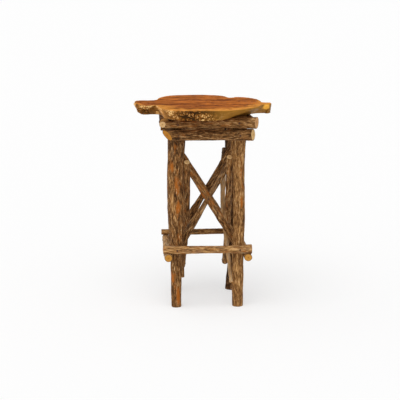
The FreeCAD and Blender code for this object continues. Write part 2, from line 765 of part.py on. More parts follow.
os.makedirs("parts", exist_ok=True)
for name, piece in pieces.items():
    piece.Shape.exportStep(os.path.join("parts", f"{name}.step"))
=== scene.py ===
import math
from collections import namedtuple

import bpy
import numpy as np
from bpy.props import FloatProperty, FloatVectorProperty, PointerProperty
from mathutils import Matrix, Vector
from mathutils.geometry import delaunay_2d_cdt


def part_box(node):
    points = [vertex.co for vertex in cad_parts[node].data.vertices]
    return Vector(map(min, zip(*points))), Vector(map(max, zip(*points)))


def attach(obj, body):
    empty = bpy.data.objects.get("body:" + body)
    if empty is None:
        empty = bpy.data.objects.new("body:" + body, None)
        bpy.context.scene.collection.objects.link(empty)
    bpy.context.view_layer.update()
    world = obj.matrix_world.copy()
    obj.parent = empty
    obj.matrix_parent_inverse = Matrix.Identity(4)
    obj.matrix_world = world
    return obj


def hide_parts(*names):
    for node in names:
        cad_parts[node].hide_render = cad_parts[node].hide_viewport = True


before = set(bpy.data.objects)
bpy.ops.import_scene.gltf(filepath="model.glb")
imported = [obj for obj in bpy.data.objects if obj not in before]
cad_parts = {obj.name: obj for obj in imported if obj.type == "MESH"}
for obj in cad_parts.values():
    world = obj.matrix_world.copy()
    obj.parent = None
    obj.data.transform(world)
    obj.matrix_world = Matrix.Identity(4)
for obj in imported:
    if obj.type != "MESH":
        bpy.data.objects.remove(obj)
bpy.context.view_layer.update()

bl_info = {
    "name": "Rustic hickory table",
    "version": (1, 0, 0),
    "blender": (4, 5, 0),
    "location": "3D View > Sidebar > Table",
    "description": "Bark-on hickory sticks, a burl slab and cut nails laid over the frame model",
    "category": "Object",
}

MM = 0.001


def linear(hex_colour):
    """An sRGB hex colour as the linear red, green, blue and alpha that Blender's sockets take."""
    parts = [int(hex_colour[i : i + 2], 16) / 255 for i in (1, 3, 5)]
    return [c / 12.92 if c <= 0.04045 else ((c + 0.055) / 1.055) ** 2.4 for c in parts] + [1.0]


def add(tree, kind, links=None, stops=None, **settings):
    """A node with its settings, its ramp stops, and what its sockets are set or linked to."""
    node = tree.nodes.new(kind)
    for key, value in settings.items():
        setattr(node, key, value)
    for key, value in (links or {}).items():
        if isinstance(value, bpy.types.NodeSocket):
            tree.links.new(value, node.inputs[key])
        else:
            node.inputs[key].default_value = value
    if stops:
        while len(node.color_ramp.elements) < len(stops):
            node.color_ramp.elements.new(1)
        for element, (place, colour) in zip(node.color_ramp.elements, stops):
            element.position = place
            element.color = colour
    return node


# What a user would change

class BarkSettings(bpy.types.PropertyGroup):
    ridge_spacing: FloatProperty(
        name="Ridge spacing", description="From one bark ridge to the next, around a stick",
        default=5.2 * MM, min=2 * MM, subtype="DISTANCE", unit="LENGTH")
    ridge_length: FloatProperty(
        name="Ridge length", description="How long a bark ridge runs before it joins the next",
        default=30 * MM, min=5 * MM, subtype="DISTANCE", unit="LENGTH")
    furrow_depth: FloatProperty(
        name="Furrow depth", description="From the top of a ridge to the bottom of a furrow",
        default=1.3 * MM, min=0, subtype="DISTANCE", unit="LENGTH")
    mesh_step: FloatProperty(
        name="Mesh step", description="The size of the faces that the bark is made of",
        default=2.2 * MM, min=0.5 * MM, subtype="DISTANCE", unit="LENGTH")
    furrow_colour: FloatVectorProperty(
        name="Furrow", description="Bark colour down in the furrows",
        default=linear("#372210"), size=4, min=0, max=1, subtype="COLOR")
    flank_colour: FloatVectorProperty(
        name="Flank", description="Bark colour between the ridges and the furrows",
        default=linear("#885d33"), size=4, min=0, max=1, subtype="COLOR")
    ridge_colour: FloatVectorProperty(
        name="Ridge", description="Bark colour on top of the ridges",
        default=linear("#d2a163"), size=4, min=0, max=1, subtype="COLOR")
    inner_colour: FloatVectorProperty(
        name="Inner bark", description="Where the outer bark has flaked off",
        default=linear("#a65f20"), size=4, min=0, max=1, subtype="COLOR")
    weathered_colour: FloatVectorProperty(
        name="Weathered", description="Grey bloom on the oldest bark",
        default=linear("#ab957a"), size=4, min=0, max=1, subtype="COLOR")
    lifted_colour: FloatVectorProperty(
        name="Lifted scales", description="Pale edges of scales that stand off the bark",
        default=linear("#e6c9a0"), size=4, min=0, max=1, subtype="COLOR")


class SawnEndSettings(bpy.types.PropertyGroup):
    ring_spacing: FloatProperty(
        name="Ring spacing", description="One year's growth",
        default=1.8 * MM, min=0.2 * MM, subtype="DISTANCE", unit="LENGTH")
    heart_shares: FloatVectorProperty(
        name="Heartwood", description="Share of the sapwood's red, green and blue that the middle keeps",
        default=(0.8, 0.68, 0.5), size=3, min=0, max=1)
    sapwood_colour: FloatVectorProperty(
        name="Sapwood", description="The outer wood of a sawn end",
        default=linear("#c89150"), size=4, min=0, max=1, subtype="COLOR")
    bark_colour: FloatVectorProperty(
        name="Bark ring", description="The bark around a sawn end",
        default=linear("#40260f"), size=4, min=0, max=1, subtype="COLOR")


class SlabSettings(bpy.types.PropertyGroup):
    knob_spacing: FloatProperty(
        name="Knob spacing", description="From one burl knob to the next along the edge",
        default=10 * MM, min=3 * MM, subtype="DISTANCE", unit="LENGTH")
    knob_depth: FloatProperty(
        name="Knob depth", description="How deep the creases between the knobs go",
        default=8 * MM, min=0, subtype="DISTANCE", unit="LENGTH")
    light_colour: FloatVectorProperty(
        name="Light figure", description="Pale streaks of the oiled top",
        default=linear("#c6712c"), size=4, min=0, max=1, subtype="COLOR")
    dark_colour: FloatVectorProperty(
        name="Dark figure", description="Dark streaks and eyes of the oiled top",
        default=linear("#5e2a0a"), size=4, min=0, max=1, subtype="COLOR")
    gold_colour: FloatVectorProperty(
        name="Gold rim", description="Sapwood that shows along the rim of the top",
        default=linear("#df9640"), size=4, min=0, max=1, subtype="COLOR")
    # The creases' dark is partly the burl's own colour and partly painted shade.
    crease_and_shade_colour: FloatVectorProperty(
        name="Burl crease", description="Down between the knobs of the edge",
        default=linear("#2f1d08"), size=4, min=0, max=1, subtype="COLOR")
    burl_colour: FloatVectorProperty(
        name="Burl wood", description="The flanks of the knobs of the edge",
        default=linear("#a36119"), size=4, min=0, max=1, subtype="COLOR")
    knob_colour: FloatVectorProperty(
        name="Burl knob", description="On top of the knobs of the edge",
        default=linear("#fbd48e"), size=4, min=0, max=1, subtype="COLOR")
    # The amber is partly the lobe's own orange wood and partly a painted highlight of its shiny end.
    amber_and_highlight_colour: FloatVectorProperty(
        name="Amber knot", description="The clear knot in the end of the right lobe",
        default=linear("#ffba48"), size=4, min=0, max=1, subtype="COLOR")
    sapwood_colour: FloatVectorProperty(
        name="Sapwood edge", description="Where the edge is smooth",
        default=linear("#9c6c26"), size=4, min=0, max=1, subtype="COLOR")


class NailSettings(bpy.types.PropertyGroup):
    iron_colour: FloatVectorProperty(
        name="Iron", description="The black of the fire on a nail",
        default=linear("#40302a"), size=4, min=0, max=1, subtype="COLOR")
    rust_colour: FloatVectorProperty(
        name="Rust", description="The spots of rust on a nail",
        default=linear("#6a4229"), size=4, min=0, max=1, subtype="COLOR")


class StageSettings(bpy.types.PropertyGroup):
    floor_colour: FloatVectorProperty(
        name="Floor", description="The plain floor under the table",
        default=linear("#fdfdfd"), size=4, min=0, max=1, subtype="COLOR")
    sky_strength: FloatProperty(
        name="Sky strength", description="The soft light from all around", default=0.54, min=0)
    key_strength: FloatProperty(
        name="Key lamp", description="The broad soft lamp above, in front and a little to the left",
        default=1.05, min=0)


# The sticks, in millimetres: the centre and radius of each ring that they swell and wander
# through, what each one is coped to, and how light, how flaked and how weathered its bark is.
# Some have patches that are lighter (or, below 0, darker, which is painted shade where the slab shades them)
# or more flaked, each given by its x, y and z, how wide and how high it is and by how much. Some ends are
# sawn to face a way of their own, and some show wood of their own colours, the start's first; the pale top
# ends of the left and right falling braces are painted light.
STICKS = {
    "front_left_leg": {
        "rings": ((-104.6, -115, 0, 18.6), (-104.4, -113.8, 101.6, 20.6), (-104.8, -113, 174.2, 21.7),
                  (-101.6, -114.2, 261.4, 25.4), (-103.6, -116.6, 363, 30.7), (-105.8, -116.2, 544.5, 30.4),
                  (-99.6, -114.2, 631.6, 31), (-99.2, -115, 726, 30.7)),
        "sits_on": (), "bark_shares": (0.38, 0.27, 0.1),
        # Its first patch, darker high on the front, is painted shade under the slab.
        "lighter_and_painted_shade_at": ((-99, -150, 650, 60, 45, -0.25), (-120, -146, 425, 7, 60, 0.35)),
        "flaked_at": ((-100, -150, 480, 11, 32, 0.3), (-97, -150, 387, 12, 34, 0.3),
                      (-121, -147, 536, 9, 22, 0.3), (-118, -130, 117, 10, 22, 0.4),
                      (-97, -132, 46, 6, 26, 0.6)),
    },
    "front_right_leg": {
        "rings": ((128.4, -115, 0, 20.9), (127.4, -116.2, 101.6, 22.4), (128.4, -116.6, 174.2, 21.8),
                  (130.4, -114.6, 261.4, 22.1), (131.8, -113, 363, 22.5), (129.6, -113.8, 544.5, 22.9),
                  (126.4, -115.8, 631.6, 29.7), (126.8, -115, 726, 31)),
        "sits_on": (), "bark_shares": (0.55, 0.16, 0),
        "flaked_at": ((142, -138, 520, 10, 60, 0.4), (143, -138, 412, 10, 40, 0.5)),
    },
    "back_left_leg": {
        "rings": ((-96.8, 115, 0, 18.9), (-98.4, 116.2, 145.2, 19.4), (-104.8, 117, 261.4, 20.9),
                  (-105.2, 113.8, 450.1, 21.9), (-103.2, 115, 726, 23.7)),
        "sits_on": (), "bark_shares": (0.4, 0.15, 0.1),
    },
    "back_right_leg": {
        "rings": ((119.6, 114.4, 0, 20.8), (128, 118.2, 101.6, 19.9), (127.2, 117.4, 363, 21),
                  (119.2, 113.4, 566.3, 22.1), (118.4, 115, 726, 23.9)),
        "sits_on": (), "bark_shares": (0.18, 0.1, 0.1),
    },
    "front_upper_rail": {
        "rings": ((-167, -156.5, 702, 12.6), (-110, -157.5, 702, 13.9), (23, -158.2, 704.5, 15.8),
                  (156, -162.5, 707.3, 21.9), (213, -163.5, 708.2, 23)),
        "sits_on": ("front_left_leg", "front_right_leg"), "bark_shares": (0.45, 0.3, 0),
        "lighter_and_painted_shade_at": ((90, -172, 708, 60, 14, 0.2),),
        "saw_cuts": {"start": (-0.74, -0.67, 0.05), "end": (0.92, -0.39, 0)},
        "end_colours_and_painted_light": ("#d8ae78", "#d9a066"),
    },
    "front_lower_rail": {
        "rings": ((-158, -163.2, 663, 21.3), (-50.6, -162.4, 662.1, 19), (56.8, -162.7, 662.3, 20),
                  (200, -163, 662.8, 22.8)),
        "sits_on": ("front_left_leg", "front_right_leg"), "bark_shares": (0.35, 0.25, 0),
        "saw_cuts": {"start": (-0.76, -0.5, -0.42), "end": (0.92, -0.39, 0.05)},
        "end_colours_and_painted_light": ("#c07e22", "#eabf7e"),
    },
    "back_upper_rail": {
        "rings": ((-146, 154.3, 707, 19.4), (-32.6, 151.7, 705.3, 17.6), (80.8, 150.4, 704.6, 16.6),
                  (178, 152.1, 704, 16.2)),
        "sits_on": ("back_left_leg", "back_right_leg"), "bark_shares": (0.45, 0.2, 0.15),
    },
    "back_lower_rail": {
        "rings": ((-152, 154.2, 652, 18.4), (-22.4, 153.6, 649.7, 20), (172, 156.6, 650, 22)),
        "sits_on": ("back_left_leg", "back_right_leg"), "bark_shares": (0.45, 0.2, 0.15),
    },
    "left_rail": {
        "rings": ((-146.4, -145.7, 706, 19.5), (-143.1, -3.5, 705.2, 18.9), (-141.8, 138.7, 706, 17.6)),
        "sits_on": ("front_left_leg", "back_left_leg", "front_upper_rail", "back_upper_rail"),
        # Its bark is kept dark as painted shade under the slab.
        "bark_shares": (0.2, 0.1, 0.1),
    },
    "right_rail": {
        "rings": ((173.2, -146.1, 707, 19), (164.6, -3.6, 706.1, 18.1), (157.9, 138.9, 707, 19)),
        "sits_on": ("front_right_leg", "back_right_leg", "front_upper_rail", "back_upper_rail"),
        "bark_shares": (0.45, 0.2, 0.15),
    },
    "left_stretcher": {
        "rings": ((-134.5, -171.1, 202.7, 15), (-136.4, -69.6, 200.4, 14.7), (-134.4, 65.6, 203.4, 15),
                  (-133.5, 167, 204.6, 14.2)),
        "sits_on": ("front_left_leg", "back_left_leg"), "bark_shares": (0.75, 0.05, 0.55),
        "end_colours_and_painted_light": ("#c88d3c", "#c88d3c"),
    },
    "right_stretcher": {
        "rings": ((162.6, -171, 201, 15), (161.6, -53.4, 202.5, 14.4), (157, 64.2, 203.7, 14.1),
                  (154, 165, 204.6, 14.7)),
        "sits_on": ("front_right_leg", "back_right_leg"), "bark_shares": (0.6, 0.1, 0.2),
        "end_colours_and_painted_light": ("#cd9342", "#cd9342"),
    },
    "front_stretcher": {
        "rings": ((-154, -148.5, 229.5, 15.5), (-54.7, -148, 228.7, 15), (44.6, -149.4, 228.4, 14.4),
                  (127.3, -150.4, 229, 16.3), (177, -150, 228.7, 18.6)),
        "sits_on": ("front_left_leg", "front_right_leg", "left_stretcher", "right_stretcher"),
        "bark_shares": (0.64, 0.3, 0.25),
    },
    "back_stretcher": {
        "rings": ((-152, 145.4, 229.3, 11.6), (-23.2, 144.8, 228.6, 11.8), (89.5, 146.6, 228.9, 11.3),
                  (170, 146.9, 228.8, 10.6)),
        "sits_on": ("back_left_leg", "back_right_leg", "left_stretcher", "right_stretcher"),
        "bark_shares": (0.6, 0.2, 0.15),
    },
    "front_falling_brace": {
        "rings": ((-112, -73.9, 625, 13.4), (-26.2, -85.3, 482.5, 14), (61.4, -88.7, 340.9, 14),
                  (136, -83.5, 219, 13.2)),
        "sits_on": ("front_left_leg", "front_right_leg"), "bark_shares": (0.44, 0.34, 0.1),
    },
    "front_rising_brace": {
        "rings": ((-112, -80.8, 186, 12.2), (-37.4, -61.8, 310.8, 14.2), (-5.9, -62.1, 363.3, 10.2),
                  (61.1, -62.8, 477.5, 11), (136, -80.7, 602, 10.3)),
        "sits_on": ("front_left_leg", "front_right_leg", "front_falling_brace"),
        "bark_shares": (0.4, 0.15, 0.2),
    },
    "back_falling_brace": {
        "rings": ((-112, 83.7, 615, 10.9), (-25.3, 69.2, 478.2, 11.5), (61.7, 70.9, 341.9, 11.5),
                  (136, 88.5, 225, 12)),
        "sits_on": ("back_left_leg", "back_right_leg"), "bark_shares": (0.45, 0.15, 0.2),
    },
    "back_rising_brace": {
        "rings": ((-112, 86.4, 184, 13), (-25.3, 92, 329.9, 14.8), (5, 91.6, 380, 11.4),
                  (34, 91.1, 424.1, 13.8), (81.4, 82, 508.5, 12), (136, 82.5, 600, 11.8)),
        "sits_on": ("back_left_leg", "back_right_leg", "back_falling_brace"),
        "bark_shares": (0.4, 0.2, 0.1),
    },
    "left_falling_brace": {
        "rings": ((-63.9, -125.3, 567.3, 13), (-61.3, -50.6, 421.2, 13.4), (-60.2, 37.8, 259.3, 11.6),
                  (-70.4, 121.3, 95, 11.3)),
        "sits_on": ("front_left_leg", "back_left_leg", "front_falling_brace"),
        "bark_shares": (0.45, 0.3, 0.1),
        # Its top end is painted pale, as painted light on a face that the slab shades.
        "saw_cuts": {"start": (0, -0.53, 0.848)}, "end_colours_and_painted_light": ("#ffd596", "#c89150"),
    },
    "left_rising_brace": {
        "rings": ((-82.7, -95.2, 109, 11), (-82.9, -7.9, 295, 11.2), (-80.4, 55.7, 435.3, 10.8),
                  (-74.3, 120.3, 575, 10.4)),
        "sits_on": ("front_left_leg", "back_left_leg", "left_falling_brace"),
        "bark_shares": (0.45, 0.2, 0.2),
    },
    "right_falling_brace": {
        "rings": ((95.3, -122.3, 584.6, 12.6), (99, -35.7, 413.9, 12.2), (101.9, 50, 248.5, 12),
                  (99, 124, 107, 12)),
        "sits_on": ("front_right_leg", "back_right_leg", "front_rising_brace"),
        "bark_shares": (0.5, 0.3, 0.2),
        # Its top end is painted pale, as painted light on a face that the slab shades.
        "saw_cuts": {"start": (0, -0.55, 0.835)}, "end_colours_and_painted_light": ("#ffd596", "#c89150"),
    },
    "right_rising_brace": {
        "rings": ((103.3, -129.5, 95, 8.3), (99.3, -97.7, 151, 8.1), (91.1, -50.6, 235.3, 8.3),
                  (82.5, 21.9, 379.1, 10.3), (83.4, 40, 412, 9.4), (84.8, 59.8, 448, 11.2),
                  (85.6, 71.6, 470, 11.2), (94.7, 126.5, 567, 8.8)),
        "sits_on": ("front_right_leg", "back_right_leg", "right_falling_brace", "back_rising_brace"),
        # Its top is darkened as painted shade under the slab, over bark that is darker there too.
        "bark_shares": (0.95, 0.1, 0.6), "lighter_and_painted_shade_at": ((94, 120, 560, 60, 45, -0.9),),
    },
}
# The rings of a sawn end, as shares of its radius
CAP_SHARES = (0.96, 0.86, 0.7, 0.5, 0.3, 0.12)
# The sticks' meshes: the step along a guide line in millimetres, the fewest points along it and
# around a stick, how much longer than wide a face is, and how many points are measured at once
GUIDE_STEP = 2
LEAST_GUIDE_POINTS = 60
LEAST_SPOKES = 40
FACE_LENGTH_SHARE = 1.15
BATCH = 4000
# Edges sharper than this, in degrees, look sharp
SHARP_ANGLE = 50
# Each stick has its own random draws, this far apart
SEED_STEP = 100
# How many cells a noise through space has each way before it repeats
NOISE_CELLS = 48
KNOB_CELLS = 32
# Points nearer than this to a line, in millimetres, still have a way out of it
LEAST_GAP = 0.01
# Where in its cell a knob's middle may lie, as shares of the cell
KNOB_PLACE_SHARES = (0.1, 0.9)
# Bark relief, in millimetres: how long its drifts and lumps are, how far apart knots come, how
# wide a knot is besides its share of the radius, how far a sawn rim is drawn in, and how much more
# radius makes the furrows deeper by a whole furrow's depth
DRIFT_LENGTH = 90
LUMP_LENGTH = 60
KNOT_SPACING = 120
KNOT_LEAST_WIDTH = 2
RIM_BEVEL = 0.7
DEEP_RADIUS = 40
# The fewest ridges around a stick and runs of them along it, the fewest drifts and lumps along it,
# and how many of those go around it
LEAST_RIDGES = 5
LEAST_RUNS = 3
LEAST_LUMPS = 2
DRIFTS_AROUND = 3
LUMPS_AROUND = 4
# Bark relief as shares: drifts of a turn, lumps of the radius, knots' places of the stick's length,
# their width of the radius, their swell, dimple and length of their width, and the furrow's depth
# that the thinnest stick has
DRIFT_SHARE = 0.06
LUMP_SHARE = 0.03
KNOT_PLACE_SHARES = (0.06, 0.94)
KNOT_WIDTH_SHARES = (0.2, 0.34)
KNOT_SWELL_SHARE = 0.32
KNOT_DIMPLE_SHARE = 0.3
KNOT_LENGTH_SHARE = 1.5
THIN_DEPTH_SHARE = 0.45
# How high bark stands, from 0 in a furrow to 1 on a ridge: its level, what ridges, fine ridges and
# furrows give and take, how steep a furrow is, and the height that the stick's radius meets
RIDGE_LEVEL = 0.55
RIDGE_SHARE = 0.4
FINE_RIDGE_SHARE = 0.25
FURROW_SHARE = 0.35
FURROW_STEEPNESS = 3
ROUND_LEVEL = 0.8

# A stick's smooth centre line in fine steps: how far along, centres, radii and two directions square to it
GuideLine = namedtuple("GuideLine", "along centres radii first second")


def smooth(share):
    """Eases a share in and out."""
    share = np.clip(share, 0, 1)
    return share * share * (3 - 2 * share)


def fair_curve(share, low, high, low_slope, high_slope):
    """The smooth way from a low value to a high one that starts and ends with these slopes."""
    square, cube = share**2, share**3
    return (
        (2 * cube - 3 * square + 1) * low + (cube - 2 * square + share) * low_slope
        + (3 * square - 2 * cube) * high + (cube - square) * high_slope)


def bell(away):
    """1 in the middle of a spot, and 0 far from it, where away is the distance squared in spot widths."""
    return np.exp(-away)


def skin_noise(seed, around, along, cells_around, cells_along):
    """Smooth random values from -1 to 1 over a stick's skin, which join up around it."""
    values = np.random.default_rng(seed).uniform(-1, 1, (cells_along + 3, cells_around))
    across = around * cells_around
    down = np.clip(along, 0, 1) * cells_along
    column, row = np.floor(across).astype(int), np.floor(down).astype(int)
    right, lower = smooth(across - column), smooth(down - row)
    left_column, right_column = column % cells_around, (column + 1) % cells_around
    upper_row = values[row, left_column] * (1 - right) + values[row, right_column] * right
    lower_row = values[row + 1, left_column] * (1 - right) + values[row + 1, right_column] * right
    return upper_row * (1 - lower) + lower_row * lower


def space_noise(seed, places, cell):
    """Smooth random values from -1 to 1 through space, lumps as big as the cell."""
    values = np.random.default_rng(seed).uniform(-1, 1, (NOISE_CELLS, NOISE_CELLS, NOISE_CELLS))
    scaled = places / cell
    corner = np.floor(scaled).astype(int)
    part = smooth(scaled - corner)
    total = np.zeros(len(places))
    for step in np.ndindex(2, 2, 2):
        weight = np.prod(np.where(step, part, 1 - part), axis=1)
        index = (corner + step) % NOISE_CELLS
        total += weight * values[index[:, 0], index[:, 1], index[:, 2]]
    return total


def knob_field(seed, places, cell):
    """How far each place is from the nearest knob's middle, and from the crease round it, in cells."""
    size = (KNOB_CELLS, KNOB_CELLS, KNOB_CELLS, 3)
    middles = np.random.default_rng(seed).uniform(*KNOB_PLACE_SHARES, size)
    scaled = places / cell
    corner = np.floor(scaled).astype(int)
    nearest = np.full(len(places), np.inf)
    second = np.full(len(places), np.inf)
    for step in np.ndindex(3, 3, 3):
        box = corner + step - 1
        index = box % KNOB_CELLS
        away = np.linalg.norm(box + middles[index[:, 0], index[:, 1], index[:, 2]] - scaled, axis=1)
        second = np.minimum(second, np.maximum(nearest, away))
        nearest = np.minimum(nearest, away)
    return nearest, second - nearest


def stick_line(name):
    """A stick's guide line, drawn smoothly through its rings."""
    rings = np.array(STICKS[name]["rings"], float)
    gaps = np.linalg.norm(np.diff(rings[:, :3], axis=0), axis=1)
    stops = np.concatenate(([0], np.cumsum(gaps)))
    slopes = np.gradient(rings, stops, axis=0)
    run = rings[-1, :3] - rings[0, :3]
    steps = max(LEAST_GUIDE_POINTS, round(float(np.linalg.norm(run)) / GUIDE_STEP))
    along = np.linspace(0, stops[-1], steps)
    low = np.clip(np.searchsorted(stops, along, side="right") - 1, 0, len(gaps) - 1)
    gap = gaps[low][:, None]
    share = (along - stops[low])[:, None] / gap
    rows = fair_curve(share, rings[low], rings[low + 1], gap * slopes[low], gap * slopes[low + 1])
    centres, radii = rows[:, :3], rows[:, 3]
    axis = np.gradient(centres, along, axis=0)
    axis /= np.linalg.norm(axis, axis=1)[:, None]
    square_on = np.eye(3)[np.argmin(np.abs(run))]
    first = np.cross(square_on, axis)
    first /= np.linalg.norm(first, axis=1)[:, None]
    return GuideLine(along, centres, radii, first, np.cross(axis, first))


def pick(line, name, wanted):
    """A guide line's centres, radii or directions at other places along it."""
    values = getattr(line, name)
    if values.ndim == 1:
        return np.interp(wanted, line.along, values)
    return np.stack([np.interp(wanted, line.along, values[:, i]) for i in range(3)], axis=-1)


def around_line(line, along, out, cos, sin):
    """Points this far along and out from a guide line, and their places in the stick's grain."""
    aside = pick(line, "first", along) * cos[:, None] + pick(line, "second", along) * sin[:, None]
    points = pick(line, "centres", along) + out[..., None] * aside
    return points, np.stack([out * cos, out * sin, along], axis=-1)


def bark_relief(seed, angle, along, length, radius, bark):
    """Bark height in millimetres, how far up a ridge each point is, and how near a knot."""
    around = angle / (2 * math.pi)
    girth = 2 * math.pi * radius
    ridges = max(LEAST_RIDGES, round(girth / (bark.ridge_spacing / MM)))
    runs = max(LEAST_RUNS, round(length / (bark.ridge_length / MM)))
    drifts_along = max(LEAST_LUMPS, round(length / DRIFT_LENGTH))
    lumps_along = max(LEAST_LUMPS, round(length / LUMP_LENGTH))
    share = along / length
    drift = DRIFT_SHARE * skin_noise(seed + 1, around, share, DRIFTS_AROUND, drifts_along)
    coarse = skin_noise(seed + 2, around + drift, share, ridges, runs)
    fine = skin_noise(seed + 3, around + drift, share, ridges * 2, runs * 3)
    lumps = skin_noise(seed + 4, around, share, LUMPS_AROUND, lumps_along)
    furrow = 1 - smooth(np.abs(coarse) * FURROW_STEEPNESS)
    ridge = RIDGE_LEVEL + RIDGE_SHARE * coarse + FINE_RIDGE_SHARE * fine - FURROW_SHARE * furrow
    depth = bark.furrow_depth / MM * min(1.0, THIN_DEPTH_SHARE + radius / DEEP_RADIUS)
    relief = depth * (ridge - ROUND_LEVEL) + LUMP_SHARE * radius * lumps
    # Each knot swells, and has a dimple in its middle
    knot = np.zeros_like(relief)
    picks = np.random.default_rng(seed + 5)
    for _ in range(round(length / KNOT_SPACING)):
        place, turn = picks.uniform(*KNOT_PLACE_SHARES) * length, picks.uniform(0, 2 * math.pi)
        width = picks.uniform(*KNOT_WIDTH_SHARES) * radius + KNOT_LEAST_WIDTH
        aside = (np.mod(angle - turn + math.pi, 2 * math.pi) - math.pi) * radius
        away = (aside / width) ** 2 + ((along - place) / (KNOT_LENGTH_SHARE * width)) ** 2
        relief += bell(away / 2) * width * KNOT_SWELL_SHARE - bell(away * 4) * width * KNOT_DIMPLE_SHARE
        knot = np.maximum(knot, bell(away * 2))
    return relief, np.clip(ridge, 0, 1), knot


def pushed_out(points, line):
    """Points moved out of a stick's round, to its surface."""
    moved = points.copy()
    box_low = line.centres.min(axis=0) - line.radii.max()
    box_high = line.centres.max(axis=0) + line.radii.max()
    close = np.where(np.all((points > box_low) & (points < box_high), axis=1))[0]
    for start in range(0, len(close), BATCH):
        some = close[start : start + BATCH]
        away = points[some][:, None, :] - line.centres[None, :, :]
        distance = np.linalg.norm(away, axis=2)
        nearest = distance.argmin(axis=1)
        row = np.arange(len(some))
        gap = distance[row, nearest]
        inside = (gap < line.radii[nearest]) & (nearest > 0) & (nearest < len(line.centres) - 1)
        direction = away[row, nearest] / np.maximum(gap, LEAST_GAP)[:, None]
        surface = line.centres[nearest] + direction * line.radii[nearest][:, None]
        moved[some[inside]] = surface[inside]
    return moved


def band_faces(index):
    """Four-sided faces between rows of points that each run round a ring."""
    after = np.roll(index, -1, axis=1)
    return np.stack([index[:-1], after[:-1], after[1:], index[1:]], axis=-1).reshape(-1, 4)


def mesh_object(name, points, faces, materials, face_materials, attributes):
    """An object of one mesh, from points in millimetres and values kept at its points."""
    mesh = bpy.data.meshes.new(name)
    mesh.from_pydata((points * MM).tolist(), [], faces)
    for material in materials:
        mesh.materials.append(material)
    mesh.polygons.foreach_set("material_index", face_materials)
    for key, values in attributes.items():
        kind, field = ("FLOAT", "value") if values.ndim == 1 else ("FLOAT_VECTOR", "vector")
        kept = mesh.attributes.new(key, kind, "POINT")
        kept.data.foreach_set(field, values.astype(np.float32).ravel())
    mesh.update()
    mesh.shade_smooth()
    mesh.set_sharp_from_angle(angle=math.radians(SHARP_ANGLE))
    thing = bpy.data.objects.new(name, mesh)
    bpy.context.scene.collection.objects.link(thing)
    return thing


def sawn_reach(stick, which, line, angle, relief_at):
    """How far along the stick an end's middle is, and where each spoke meets the plane of its saw cut."""
    at_end = which == "end"
    middle = line.along[-1] if at_end else 0.0
    reach = np.full(len(angle), middle)
    if which not in stick.get("saw_cuts", {}):
        return middle, reach
    normal = np.array(stick["saw_cuts"][which], float)
    middle = line.along[-1] - line.radii[-1] if at_end else line.radii[0]
    first, second = pick(line, "first", middle), pick(line, "second", middle)
    slope = normal @ np.cross(first, second)
    lean = np.cos(angle) * (normal @ first) + np.sin(angle) * (normal @ second)
    # The bark's relief changes with the reach, so the two are found by turns
    for _ in range(3):
        reach = middle - lean * (pick(line, "radii", reach) + relief_at(reach)[0]) / slope
    return middle, reach


def skin_rows(points, grain, ridge, knot, rim):
    """A row for each point: its place, its place in the grain, and its ridge, knot and rim shares."""
    shares = [np.broadcast_to(share, points.shape[:-1]).ravel() for share in (ridge, knot, rim)]
    return np.column_stack((points.reshape(-1, 3), grain.reshape(-1, 3), *shares))


def end_rows(line, middle, reach, out, cos, sin):
    """The rows of a sawn end, ring by ring from its rim to its middle."""
    rows = []
    for share in CAP_SHARES:
        ring = around_line(line, middle + share * (reach - middle), share * out, cos, sin)
        rows.append(skin_rows(*ring, 0.5, 0, share))
    centre = around_line(line, np.array([middle]), np.zeros(1), cos[:1], sin[:1])
    return rows + [skin_rows(*centre, 0.5, 0, 0)]


def end_faces(rim, first, at_end):
    """The faces of a sawn end, from its rim's points to a fan about its middle."""
    inner = first + np.arange(len(CAP_SHARES) * len(rim)).reshape(-1, len(rim))
    bands = band_faces(np.vstack((rim, inner)))
    last = inner[-1]
    fan = np.stack((np.full(len(last), first + inner.size), last, np.roll(last, -1)), axis=-1)
    if not at_end:
        bands, fan = bands[:, [0, 3, 2, 1]], fan[:, [0, 2, 1]]
    return bands.tolist() + fan.tolist()


def bark_values(stick, points, grain, length):
    """How light, flaked and weathered a stick's bark is at its points, with painted shade in some darker
    patches, and how its sawn wood is coloured, with painted light on some ends.
    """
    light, flaked, weathered = (np.full(len(points), float(share)) for share in stick["bark_shares"])
    for shares, patches in ((flaked, "flaked_at"), (light, "lighter_and_painted_shade_at")):
        for x, y, z, width, height, much in stick.get(patches, ()):
            across = np.hypot(points[:, 0] - x, points[:, 1] - y) / width
            shares += much * bell(across**2 + ((points[:, 2] - z) / height) ** 2)
    usual = bpy.context.scene.sawn_end_settings.sapwood_colour[:3]
    # Some ends' colours are painted light, paler than their wood, where the slab shades them.
    start_wood, end_wood = [linear(code)[:3] for code in stick.get("end_colours_and_painted_light", ())] or [usual, usual]
    sapwood = np.where(grain[:, 2:] < length / 2, start_wood, end_wood)
    return {"light": light, "flaked": flaked, "weathered": weathered, "sapwood": sapwood}


